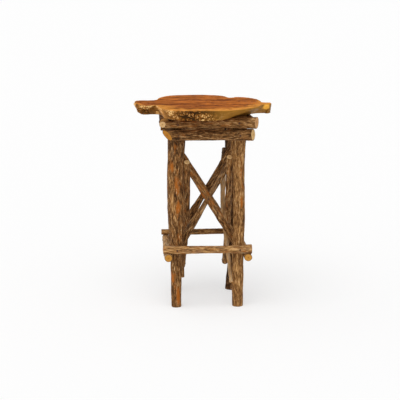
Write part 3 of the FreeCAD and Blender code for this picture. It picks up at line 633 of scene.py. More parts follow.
def make_stick(name, bark):
    """A bark-on stick with sawn ends, in place of its frame node."""
    stick = STICKS[name]
    seed = SEED_STEP * (list(STICKS).index(name) + 1)
    line = stick_line(name)
    length, radius = line.along[-1], float(line.radii.mean())
    step = bark.mesh_step / MM
    spokes = max(LEAST_SPOKES, round(2 * math.pi * radius / step))
    rings = round(length / (step * FACE_LENGTH_SHARE))
    angle = np.arange(spokes) * 2 * math.pi / spokes
    cos, sin = np.cos(angle), np.sin(angle)

    def relief_at(along):
        return bark_relief(seed, np.broadcast_to(angle, along.shape), along, length, radius, bark)

    ends = [sawn_reach(stick, which, line, angle, relief_at) for which in ("start", "end")]
    share = np.linspace(0, 1, rings)[:, None]
    along = ends[0][1] * (1 - share) + ends[1][1] * share
    relief, ridge, knot = relief_at(along)
    out = pick(line, "radii", along) + relief
    out[[0, -1]] -= RIM_BEVEL
    rows = [skin_rows(*around_line(line, along, out, cos, sin), ridge, knot, 1)]
    index = np.arange(rings * spokes).reshape(rings, spokes)
    faces = band_faces(index).tolist()
    face_materials = [0] * len(faces)
    for which in (0, -1):
        first = sum(map(len, rows))
        rows += end_rows(line, *ends[which], out[which], cos, sin)
        faces += end_faces(index[which], first, which == -1)
    face_materials += [1] * (len(faces) - len(face_materials))
    rows = np.concatenate(rows)
    points, grain = rows[:, :3], rows[:, 3:6]
    ridge, knot, rim = rows[:, 6:].T
    for carrier in stick["sits_on"]:
        points = pushed_out(points, stick_line(carrier))
    slab_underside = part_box("top_slab")[0][2] / MM
    points[:, 2] = np.clip(points[:, 2], 0, slab_underside)
    attributes = {
        "grain": grain, "ridge": ridge, "knot": knot, "rim": rim, **bark_values(stick, points, grain, length)}
    materials = [bark_material(), sawn_end_material()]
    thing = mesh_object(name + "_bark", points, faces, materials, face_materials, attributes)
    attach(thing, "root")
    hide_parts(name)


def make_sticks(ending, bark):
    """Every stick whose name has this ending."""
    for name in STICKS:
        if name.endswith(ending):
            make_stick(name, bark)


def new_material(name, looks):
    """An empty material, its node tree and its principled shader, which has these looks."""
    material = bpy.data.materials.new(name)
    material.use_nodes = True
    tree = material.node_tree
    tree.nodes.clear()
    shader = add(tree, "ShaderNodeBsdfPrincipled", looks)
    add(tree, "ShaderNodeOutputMaterial", {"Surface": shader.outputs["BSDF"]})
    return material, tree, shader


# The bark's patterns: how wide each is in millimetres, what share of that it shows along the
# stick, its detail and its roughness. Fibres are 16 mm long and scales 30 mm, and flakes and bloom
# come in patches 40 mm and 60 mm long.
BARK_PATTERNS = {
    "fibre": (1.6, 0.1, 3, 0.6),
    "scale": (6, 0.2, 4, 0.75),
    "flake": (14, 0.35, 4, 0.6),
    "bloom": (22, 0.35, 3, 0.6),
}
# What lightens a stick's bark and how much, and the level that is then taken off
BARK_TONE_SHARES = {"ridge": 0.3, "fibre": 1.9, "scale": 2.5, "knot": -0.4}
BARK_TONE_LEVEL = 2.42


def bark_material():
    """Hickory bark, left on and oiled: matt, tan on its ridges, dark in its furrows, rust where it flaked."""
    name = "hickory bark left on and oiled"
    if name in bpy.data.materials:
        return bpy.data.materials[name]
    bark = bpy.context.scene.bark_settings
    material, tree, shader = new_material(name, {"Roughness": 0.78, "IOR": 1.45, "Specular IOR Level": 0.12})
    grain = add(tree, "ShaderNodeAttribute", attribute_name="grain").outputs["Vector"]
    seen = {}
    for key in ("ridge", "knot", "light", "flaked", "weathered"):
        seen[key] = add(tree, "ShaderNodeAttribute", attribute_name=key).outputs["Fac"]
    for key, (width, along_share, detail, roughness) in BARK_PATTERNS.items():
        drawn = add(tree, "ShaderNodeMapping", {
            "Vector": grain, "Scale": (1, 1, along_share)}).outputs["Vector"]
        seen[key] = add(tree, "ShaderNodeTexNoise", {
            "Vector": drawn, "Scale": 1 / width, "Detail": detail, "Roughness": roughness}).outputs["Fac"]
    tone = seen["light"]
    for key, share in BARK_TONE_SHARES.items():
        tone = add(tree, "ShaderNodeMath", {
            0: seen[key], 1: share, 2: tone}, operation="MULTIPLY_ADD").outputs[0]
    tone = add(tree, "ShaderNodeMath", {0: tone, 1: BARK_TONE_LEVEL}, operation="SUBTRACT").outputs[0]
    skin = add(tree, "ShaderNodeValToRGB", {"Fac": tone}, (
        (0, bark.furrow_colour), (0.45, bark.flank_colour), (1, bark.ridge_colour))).outputs["Color"]
    # Rust where it flaked, most of all on the scales
    flake = add(tree, "ShaderNodeMath", {0: seen["flake"], 1: seen["flaked"]}, operation="ADD").outputs[0]
    flake = add(tree, "ShaderNodeMapRange", {
        "Value": flake, "From Min": 0.85, "From Max": 1.05, "To Max": 0.7}).outputs["Result"]
    flake = add(tree, "ShaderNodeMath", {
        0: flake, 1: seen["scale"], 2: flake}, operation="MULTIPLY_ADD").outputs[0]
    # Grey bloom, on the ridges only
    bloom = add(tree, "ShaderNodeMath", {0: seen["bloom"], 1: seen["weathered"]}, operation="ADD").outputs[0]
    bloom = add(tree, "ShaderNodeMapRange", {
        "Value": bloom, "From Min": 0.68, "From Max": 1.1, "To Max": 0.9}).outputs["Result"]
    bloom = add(tree, "ShaderNodeMath", {0: bloom, 1: seen["ridge"]}, operation="MULTIPLY").outputs[0]
    # Scales are pale where they lift
    lifted = add(tree, "ShaderNodeMath", {0: seen["scale"], 1: seen["fibre"]}, operation="ADD").outputs[0]
    lifted = add(tree, "ShaderNodeMapRange", {
        "Value": lifted, "From Min": 1.13, "From Max": 1.33, "To Max": 0.75}).outputs["Result"]
    layers = ((flake, bark.inner_colour), (bloom, bark.weathered_colour), (lifted, bark.lifted_colour))
    for share, colour in layers:
        skin = add(tree, "ShaderNodeMix", {0: share, 6: skin, 7: colour}, data_type="RGBA").outputs[2]
    tree.links.new(skin, shader.inputs["Base Color"])
    raised = add(tree, "ShaderNodeBump", {"Height": seen["fibre"], "Distance": 0.5 * MM, "Strength": 0.7})
    tree.links.new(raised.outputs["Normal"], shader.inputs["Normal"])
    return material


# A sawn end's grain, in millimetres: how far its middle is from the pith, how wide and how far its
# rings waver, how wide the pith is, and how wide the saw's marks are
OFF_PITH = (1.2, -0.8, 0)
WAVER_WIDTH = 9
WAVER_REACH = 4
PITH_RADII = (0.6, 1.2)
SAW_MARK_WIDTH = 0.8


def sawn_end_material():
    """Hickory end grain, sawn: honey-coloured growth rings, a dark pith and a dark ring of bark."""
    name = "hickory end grain sawn"
    if name in bpy.data.materials:
        return bpy.data.materials[name]
    sawn = bpy.context.scene.sawn_end_settings
    material, tree, shader = new_material(name, {"Roughness": 0.6, "IOR": 1.5, "Specular IOR Level": 0.1})
    grain = add(tree, "ShaderNodeAttribute", attribute_name="grain").outputs["Vector"]
    rim = add(tree, "ShaderNodeAttribute", attribute_name="rim").outputs["Fac"]
    # The pith is never quite in the middle, and the rings waver a little
    flat = add(tree, "ShaderNodeMapping", {
        "Vector": grain, "Location": OFF_PITH, "Scale": (1, 1, 0)}).outputs["Vector"]
    from_pith = add(tree, "ShaderNodeVectorMath", {0: flat}, operation="LENGTH").outputs["Value"]
    waver = add(tree, "ShaderNodeTexNoise", {
        "Vector": flat, "Scale": 1 / WAVER_WIDTH, "Detail": 3}).outputs["Fac"]
    wavering = add(tree, "ShaderNodeMath", {
        0: waver, 1: WAVER_REACH, 2: from_pith}, operation="MULTIPLY_ADD").outputs[0]
    turns = add(tree, "ShaderNodeMath", {
        0: wavering, 1: 2 * math.pi * MM / sawn.ring_spacing}, operation="MULTIPLY").outputs[0]
    ring = add(tree, "ShaderNodeMath", {0: turns}, operation="SINE").outputs[0]
    ring = add(tree, "ShaderNodeMapRange", {
        "Value": ring, "From Min": -1, "From Max": 1, "To Min": 0.72, "To Max": 1.06}).outputs["Result"]
    # Each end's wood colour, which on the two falling side braces' tops is painted light.
    sapwood = add(tree, "ShaderNodeAttribute", attribute_name="sapwood").outputs["Color"]
    heart = add(tree, "ShaderNodeVectorMath", {
        0: sapwood, 1: tuple(sawn.heart_shares)}, operation="MULTIPLY").outputs["Vector"]
    grown = add(tree, "ShaderNodeMapRange", {
        "Value": rim, "From Min": 0.1, "From Max": 0.4}).outputs["Result"]
    wood = add(tree, "ShaderNodeMix", {0: grown, 6: heart, 7: sapwood}, data_type="RGBA").outputs[2]
    barked = add(tree, "ShaderNodeMapRange", {
        "Value": rim, "From Min": 0.91, "From Max": 0.96}).outputs["Result"]
    wood = add(tree, "ShaderNodeMix", {
        0: barked, 6: wood, 7: sawn.bark_colour}, data_type="RGBA").outputs[2]
    ringed = add(tree, "ShaderNodeVectorMath", {0: wood, "Scale": ring}, operation="SCALE").outputs["Vector"]
    pith = add(tree, "ShaderNodeMapRange", {
        "Value": from_pith, "From Min": PITH_RADII[1], "From Max": PITH_RADII[0]}).outputs["Result"]
    finished = add(tree, "ShaderNodeMix", {
        0: pith, 6: ringed, 7: sawn.bark_colour}, data_type="RGBA").outputs[2]
    tree.links.new(finished, shader.inputs["Base Color"])
    saw_marks = add(tree, "ShaderNodeTexNoise", {
        "Vector": grain, "Scale": 1 / SAW_MARK_WIDTH, "Detail": 2}).outputs["Fac"]
    raised = add(tree, "ShaderNodeBump", {"Height": saw_marks, "Distance": 0.2 * MM, "Strength": 0.5})
    tree.links.new(raised.outputs["Normal"], shader.inputs["Normal"])
    return material


# The slab: the frame's outline again, as shares of its half width and half depth, with how far
# the edge leans in below each point as a share of the thickness, and how knobbly it is there.
SLAB_EDGE_SHARES = (
    (0.04, -0.99, 0.25, 0.7), (0.23, -0.985, 0.7, 0.15), (0.40, -0.92, 1.3, 0), (0.575, -0.78, 1.8, 0),
    (0.71, -0.615, 1.8, 0), (0.795, -0.48, 1.5, 0), (0.85, -0.33, 1.1, 0.1), (0.955, -0.285, 0.7, 0.2),
    (0.998, -0.18, 0.2, 0.2), (0.99, -0.05, 0.15, 0.3), (0.895, -0.008, 0.5, 0.4), (0.883, 0.16, 0.6, 0.5),
    (0.85, 0.38, 0.6, 0.6), (0.77, 0.54, 0.6, 0.8), (0.675, 0.645, 0.5, 1), (0.54, 0.68, 0.4, 1),
    (0.465, 0.603, 0.3, 0.8), (0.42, 0.72, 0.4, 0.6), (0.34, 0.87, 0.5, 0.4), (0.19, 0.95, 0.5, 0.3),
    (0.02, 1.0, 0.5, 0.3), (-0.20, 0.99, 0.5, 0.5), (-0.42, 0.94, 0.5, 0.8), (-0.545, 0.80, 0.6, 1),
    (-0.625, 0.615, 0.5, 1), (-0.668, 0.40, 0.4, 0.9), (-0.77, 0.34, 0.4, 0.6), (-0.94, 0.33, 0.4, 0.6),
    (-0.995, 0.2, 0.4, 0.8), (-1.005, 0.04, 0.45, 1), (-0.98, -0.2, 0.6, 1), (-0.915, -0.325, 0.85, 1),
    (-0.79, -0.39, 1.15, 1), (-0.695, -0.33, 0.7, 0.9), (-0.655, -0.53, 0.5, 0.6), (-0.585, -0.775, 0.5, 0.8),
    (-0.46, -0.935, 0.55, 1), (-0.23, -0.98, 0.4, 1),
)
# How far down the edge, and how much of its lean it has there
LEAN_SHARES = ((0, 0), (0.16, 0), (0.5, 0.35), (1, 1))
# How far the top's corner is rounded off, and how far down, as shares of the thickness
RIM_SHARE = 0.08
RIM_DROP_SHARE = 0.1
# Hollows in the edge, in millimetres: x, y, z and how wide, with how much painted shade darkens each one
EDGE_HOLLOWS = ((-183, -90, 745, 12, 0.8), (-224, -66, 738, 9, 0.3), (-76, -236, 740, 12, 0.35))
# The left lobe is craggier than the rest from this x on and over this far, in millimetres
CRAGGY_FROM = -190
CRAGGY_REACH = 30
CRAGGY_SHARE = 1.9
# The smooth stretch's waves and the top's, in millimetres: how long, and how high the top's are
EDGE_WAVE_LENGTH = 34
TOP_WAVE_LENGTH = 60
TOP_WAVE_HEIGHT = 0.25
# Sizes of the edge's swells, bends, and big and small knobs, as shares of the knob spacing
SWELL_SHARE = 3.2
BEND_SHARE = 1.3
KNOB_SIZE_SHARES = (1.4, 0.65)
# How far the bends carry big and small knobs, as shares of the knob spacing
BEND_REACH_SHARES = (0.6, 0.4)
# How wide the creases round big and small knobs are, as shares of the knob
CREASE_WIDTH_SHARES = (0.13, 0.2)
# How much big and small knobs bulge, and how deep the creases round them are
BULGE_SHARES = (0.55, 0.3)
CREASE_SHARES = (0.7, 0.4)
# How much of the knob depth creases, swells and hollows carve, and waves where the edge is smooth
CREASE_CARVED_SHARE = 0.35
SWELL_CARVED_SHARE = 0.5
HOLLOW_CARVED_SHARE = 0.8
WAVE_CARVED_SHARE = 0.2
# How much creases, bulges and swells darken the edge, partly the burl's own colour and partly painted shade
CREASE_DARK_SHARE = 0.6
BULGE_DARK_SHARE = 0.5
SWELL_DARK_SHARE = 1.3
# How much of the carving is left at the top and at the underside, and how far from them it is whole
TOP_CARVED_SHARE = 0.75
UNDERSIDE_CARVED_SHARE = 0.4
FADE_DROP_SHARE = 0.2
# The slab's mesh: points round the edge, levels down it, millimetres between points of the top, how
# clear of the rim these stay as a share of that, and how near points become one
EDGE_POINTS = 900
EDGE_LEVELS = 22
TOP_GRID = 7
GRID_CLEAR_SHARE = 0.7
ONE_POINT = 0.001


def closed_spline(values, count):
    """A smooth closed curve through rows of numbers, evenly spaced in its own parameter."""
    values = np.array(values, float)
    size = len(values)
    matrix = 4 * np.eye(size) + np.eye(size, k=1) + np.eye(size, k=-1)
    matrix[0, -1] = matrix[-1, 0] = 1
    slopes = np.linalg.solve(matrix, 3 * (np.roll(values, -1, axis=0) - np.roll(values, 1, axis=0)))
    at = np.arange(count) * size / count
    low = np.floor(at).astype(int)
    high = (low + 1) % size
    return fair_curve((at - low)[:, None], values[low], values[high], slopes[low], slopes[high])


def slab_outline():
    """The slab's widest outline in millimetres, which way is in, how far it leans and how knobbly it is."""
    low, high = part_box("top_slab")
    curve = closed_spline(SLAB_EDGE_SHARES, EDGE_POINTS)
    flat = curve[:, :2]
    reach = (flat.max(axis=0) - flat.min(axis=0)) / 2
    middle = (flat.max(axis=0) + flat.min(axis=0)) / 2
    half = np.array([high[0] - low[0], high[1] - low[1]]) / 2 / MM
    centre = np.array([high[0] + low[0], high[1] + low[1]]) / 2 / MM
    outline = (flat - middle) / reach * half + centre
    along = np.roll(outline, -1, axis=0) - np.roll(outline, 1, axis=0)
    inward = np.stack((-along[:, 1], along[:, 0]), axis=-1)
    inward /= np.linalg.norm(inward, axis=1)[:, None]
    return outline, inward, curve[:, 2], np.clip(curve[:, 3], 0, 1)


def knobbly(places, burl, knob):
    """How deep the edge is carved, as a share of the knob depth, and how dark it is, from 0 to 1: partly the
    burl's own colour, partly painted shade in its creases and hollows.
    """
    swell = 0.5 + 0.5 * space_noise(11, places, knob * SWELL_SHARE)
    waves = 0.5 + 0.5 * space_noise(12, places * (1, 1, 0.4), EDGE_WAVE_LENGTH)
    bent = np.column_stack([space_noise(15 + axis, places, knob * BEND_SHARE) for axis in range(3)])
    bulge = crease = 0
    for which in (0, 1):
        bent_places = places + bent * knob * BEND_REACH_SHARES[which]
        from_middle, from_crease = knob_field(13 + which, bent_places, knob * KNOB_SIZE_SHARES[which])
        bulge = bulge + np.clip(from_middle, 0, 1) ** 2 * BULGE_SHARES[which]
        crease = crease + bell((from_crease / CREASE_WIDTH_SHARES[which]) ** 2) * CREASE_SHARES[which]
    hollow, dark = np.zeros(len(places)), np.zeros(len(places))
    for x, y, z, width, hollow_shade in EDGE_HOLLOWS:
        near = bell(np.sum((places - (x, y, z)) ** 2, axis=1) / width**2)
        hollow += near
        dark += hollow_shade * near
    crag = 1 + CRAGGY_SHARE * smooth((CRAGGY_FROM - places[:, 0]) / CRAGGY_REACH)
    knobs = crag * (bulge + CREASE_CARVED_SHARE * crease)
    carved = burl * (knobs + SWELL_CARVED_SHARE * swell + HOLLOW_CARVED_SHARE * hollow)
    carved += (1 - burl) * WAVE_CARVED_SHARE * waves
    # The darkness is partly the burl's own colour and partly painted shade in creases, hollows and deeper
    # swells.
    dark += CREASE_DARK_SHARE * crease + BULGE_DARK_SHARE * bulge + SWELL_DARK_SHARE * (swell - 0.5)
    return carved, np.clip(dark, 0, 1)


def slab_edge(slab, outline, inward, lean, burl):
    """The edge's points, level by level from the top down, and how dark each one is, partly as painted shade.
    """
    low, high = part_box("top_slab")
    top, thickness = high[2] / MM, (high[2] - low[2]) / MM
    rows, burl_tones_and_shade = [], []
    for drop in np.linspace(0, 1, EDGE_LEVELS):
        leaned = np.interp(drop, *zip(*LEAN_SHARES)) * lean * thickness
        corner = 1 - min(1, drop / RIM_DROP_SHARE)
        rounding = RIM_SHARE * thickness * (1 - math.sqrt(1 - corner**2))
        level = outline + inward * (leaned + rounding)[:, None]
        places = np.column_stack((level, np.full(len(level), top - drop * thickness)))
        carved, burl_tone_and_shade = knobbly(places, burl, slab.knob_spacing / MM)
        # The carving is shallower towards the top and the underside
        fade = TOP_CARVED_SHARE + (1 - TOP_CARVED_SHARE) * smooth(drop / FADE_DROP_SHARE)
        fade *= UNDERSIDE_CARVED_SHARE + (1 - UNDERSIDE_CARVED_SHARE) * smooth((1 - drop) / FADE_DROP_SHARE)
        moved = inward * (fade * (slab.knob_depth / MM) * carved)[:, None]
        rows.append(places + np.column_stack((moved, np.zeros(len(level)))))
        burl_tones_and_shade.append(burl_tone_and_shade)
    return rows, burl_tones_and_shade


def filled(outline, spacing):
    """A flat outline filled with evenly spaced points: where they are, the triangles, and whose copies."""
    low, high = outline.min(axis=0), outline.max(axis=0)
    columns, lines = np.arange(low[0], high[0], spacing), np.arange(low[1], high[1], spacing)
    grid = np.stack(np.meshgrid(columns, lines), axis=-1).reshape(-1, 2)
    grid[:, 0] += np.where(np.round(grid[:, 1] / spacing) % 2, spacing / 2, 0)
    clear = np.array([np.min(np.sum((outline - point) ** 2, axis=1)) for point in grid])
    grid = grid[clear > (GRID_CLEAR_SHARE * spacing) ** 2]
    places = [Vector(point) for point in np.concatenate((outline, grid))]
    ring = list(range(len(outline)))
    points, _, triangles, origins, _, _ = delaunay_2d_cdt(places, [], [ring], 1, ONE_POINT)
    origins = np.array([origin[0] if origin else -1 for origin in origins])
    return np.array([tuple(point) for point in points]), np.array(triangles), origins


def make_slab(slab):
    """The burl slab: an oiled top, and a natural edge with knobs, creases and a stretch of smooth sapwood."""
    outline, inward, lean, burl = slab_outline()
    levels, burl_tones_and_shade = slab_edge(slab, outline, inward, lean, burl)
    index = np.arange(EDGE_LEVELS * EDGE_POINTS).reshape(EDGE_LEVELS, EDGE_POINTS)
    faces = band_faces(index)[:, ::-1].tolist()
    face_materials = [1] * len(faces)
    edge = np.concatenate(levels)
    # A row for each point: x, y, z, how dark (burl colour and painted shade), how knobbly and how far in from
    # the rim
    rows = [np.column_stack((edge, np.concatenate(burl_tones_and_shade), np.tile(burl, EDGE_LEVELS), np.zeros(len(edge))))]
    for which, is_top in ((0, True), (-1, False)):
        rim = levels[which]
        flat, triangles, origins = filled(rim[:, :2], TOP_GRID)
        on_rim = (origins >= 0) & (origins < EDGE_POINTS)
        number = np.empty(len(origins), int)
        number[on_rim] = index[which][origins[on_rim]]
        number[~on_rim] = sum(map(len, rows)) + np.arange(np.count_nonzero(~on_rim))
        inner = flat[~on_rim]
        nothing = np.zeros(len(inner))
        inset = np.sqrt(np.array([np.min(np.sum((rim[:, :2] - point) ** 2, axis=1)) for point in inner]))
        height = rim[0, 2] + nothing
        if is_top:
            waves = space_noise(15, np.column_stack((inner, nothing)), TOP_WAVE_LENGTH)
            height += TOP_WAVE_HEIGHT * waves - TOP_WAVE_HEIGHT
        rows.append(np.column_stack((inner, height, nothing, nothing, inset)))
        corners = number[triangles]
        faces += (corners if is_top else corners[:, ::-1]).tolist()
        face_materials += [0 if is_top else 2] * len(corners)
    rows = np.concatenate(rows)
    points = rows[:, :3]
    burl_tone_and_shade, knobbliness, inset = rows[:, 3:].T
    attributes = {"grain": points, "burl_tone_and_shade": burl_tone_and_shade, "burl": knobbliness, "inset": inset}
    materials = [slab_top_material(), slab_edge_material(), slab_underside_material()]
    thing = mesh_object("top_slab_burl", points, faces, materials, face_materials, attributes)
    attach(thing, "root")
    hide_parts("top_slab")


# The top's figure, in millimetres: how wide its swirls are and how far they carry it, from streak
# to streak, from band to band, from eye to eye, how wide a crowd of eyes is, and from curl to curl
SWIRL_WIDTH = 120
SWIRL_REACH = (70, 110, 0)
STREAK_WIDTH = 14
BAND_WIDTH = 45
EYE_SPACING = 13
CROWD_WIDTH = 85
CURL_WIDTH = 9
# The share of their width that streaks, bands and curls show along the slab
STREAK_SHARES = (0.16, 1, 1)
CURL_SHARES = (0.4, 1, 1)
# How much bands, eyes and curls add to the streaks, and how much streaks and curls break up the gold
BAND_TONE_SHARE = 0.6
EYE_TONE_SHARE = -0.3
CURL_TONE_SHARE = 0.7
GOLD_BREAK_SHARE = -2.4
# The gold sapwood's reach in from the rim at the back and at the front, and those places' y
GOLD_REACHES = (6, 100)
GOLD_PLACES = (60, -230)
# The left lobe has less gold, from its root's x to its tip's
LOBE_PLACES = (-140, -200)


def slab_top_material():
    """Burl, planed, sanded and oiled: satin, swirling red-brown figure with eyes, golden along its rim."""
    slab = bpy.context.scene.slab_settings
    material, tree, shader = new_material("burl wood planed and oiled", {
        "Roughness": 0.65, "IOR": 1.5, "Specular IOR Level": 0.01})
    place = add(tree, "ShaderNodeAttribute", attribute_name="grain").outputs["Vector"]
    inset = add(tree, "ShaderNodeAttribute", attribute_name="inset").outputs["Fac"]
    # The figure swirls, and streaks along the slab
    swirl = add(tree, "ShaderNodeTexNoise", {
        "Vector": place, "Scale": 1 / SWIRL_WIDTH, "Detail": 3}).outputs["Color"]
    swirl = add(tree, "ShaderNodeVectorMath", {0: swirl, 1: (0.5, 0.5, 0.5)}, operation="SUBTRACT").outputs[0]
    bent = add(tree, "ShaderNodeVectorMath", {
        0: swirl, 1: SWIRL_REACH, 2: place}, operation="MULTIPLY_ADD").outputs[0]
    drawn = add(tree, "ShaderNodeMapping", {"Vector": bent, "Scale": STREAK_SHARES}).outputs["Vector"]
    streak = add(tree, "ShaderNodeTexNoise", {
        "Vector": drawn, "Scale": 1 / STREAK_WIDTH, "Detail": 6, "Roughness": 0.68}).outputs["Fac"]
    band = add(tree, "ShaderNodeTexNoise", {
        "Vector": drawn, "Scale": 1 / BAND_WIDTH, "Detail": 2}).outputs["Fac"]
    # Eyes of the burl: dark dots about 4 mm wide, crowded in some places
    eyes = add(tree, "ShaderNodeTexVoronoi", {"Vector": bent, "Scale": 1 / EYE_SPACING}).outputs["Distance"]
    eyes = add(tree, "ShaderNodeMapRange", {
        "Value": eyes, "From Min": 0.26, "From Max": 0.08}).outputs["Result"]
    crowd = add(tree, "ShaderNodeTexNoise", {
        "Vector": place, "Scale": 1 / CROWD_WIDTH, "Detail": 2}).outputs["Fac"]
    crowd = add(tree, "ShaderNodeMapRange", {
        "Value": crowd, "From Min": 0.48, "From Max": 0.6}).outputs["Result"]
    eyes = add(tree, "ShaderNodeMath", {0: eyes, 1: crowd}, operation="MULTIPLY").outputs[0]
    # Curl: short ripples across the streaks
    curl = add(tree, "ShaderNodeMapping", {"Vector": bent, "Scale": CURL_SHARES}).outputs["Vector"]
    curl = add(tree, "ShaderNodeTexNoise", {
        "Vector": curl, "Scale": 1 / CURL_WIDTH, "Detail": 3, "Roughness": 0.6}).outputs["Fac"]
    tone = streak
    for part, share in ((band, BAND_TONE_SHARE), (eyes, EYE_TONE_SHARE), (curl, CURL_TONE_SHARE)):
        tone = add(tree, "ShaderNodeMath", {0: part, 1: share, 2: tone}, operation="MULTIPLY_ADD").outputs[0]
    tone = add(tree, "ShaderNodeMapRange", {
        "Value": tone, "From Min": 0.98, "From Max": 1.3}).outputs["Result"]
    figure = add(tree, "ShaderNodeValToRGB", {"Fac": tone}, (
        (0, slab.dark_colour), (1, slab.light_colour))).outputs["Color"]
    # The sapwood shows gold along the rim, and reaches further in at the front
    parts = add(tree, "ShaderNodeSeparateXYZ", {"Vector": place})
    reach = add(tree, "ShaderNodeMapRange", {
        "Value": parts.outputs["Y"], "From Min": GOLD_PLACES[0], "From Max": GOLD_PLACES[1],
        "To Min": GOLD_REACHES[0], "To Max": GOLD_REACHES[1]}).outputs["Result"]
    share = add(tree, "ShaderNodeMath", {0: inset, 1: reach}, operation="DIVIDE").outputs[0]
    for part in (streak, curl):
        share = add(tree, "ShaderNodeMath", {
            0: part, 1: GOLD_BREAK_SHARE, 2: share}, operation="MULTIPLY_ADD").outputs[0]
    lobe = add(tree, "ShaderNodeMapRange", {
        "Value": parts.outputs["X"], "From Min": LOBE_PLACES[0], "From Max": LOBE_PLACES[1],
        "To Max": 0.7}).outputs["Result"]
    share = add(tree, "ShaderNodeMath", {0: share, 1: lobe}, operation="ADD").outputs[0]
    gold = add(tree, "ShaderNodeMapRange", {
        "Value": share, "From Min": -1.4, "From Max": -2.4, "To Max": 0.95}).outputs["Result"]
    rimmed = add(tree, "ShaderNodeMix", {
        0: gold, 6: figure, 7: slab.gold_colour}, data_type="RGBA").outputs[2]
    tree.links.new(rimmed, shader.inputs["Base Color"])
    raised = add(tree, "ShaderNodeBump", {"Height": streak, "Distance": 0.15 * MM, "Strength": 0.4})
    tree.links.new(raised.outputs["Normal"], shader.inputs["Normal"])
    return material


# The edge, in millimetres: how wide its specks and the sapwood's lines are, and the heights
# between which painted shade darkens the knobs, where the edge leans under
SPECK_WIDTH = 3
LINE_WIDTH = 5
PAINTED_SHADE_HEIGHTS = (752, 734)
# How much of their width the lines show each way, how much specks lighten the knobs, and how much
# of the gold end's colour its knobs take, partly the wood's gold and partly painted light where the leaning
# edge is in shade
LINE_SHARES = (0.2, 0.2, 1)
SPECK_TONE_SHARE = -2.2
GOLD_AND_LIGHT_SHARE = 0.2
# The x between which the edge's wood turns from dull to gold, in millimetres
GOLD_END = (-60, -140)
# A bright amber spot in the end of the right lobe, partly the wood's own orange and partly a painted
# highlight of its shiny face, in millimetres: its middle, and how far from that it fades in and how near it
# is clear
AMBER_AND_HIGHLIGHT_SPOT = (235, -73, 751)
AMBER_AND_HIGHLIGHT_RADII = (16, 9)


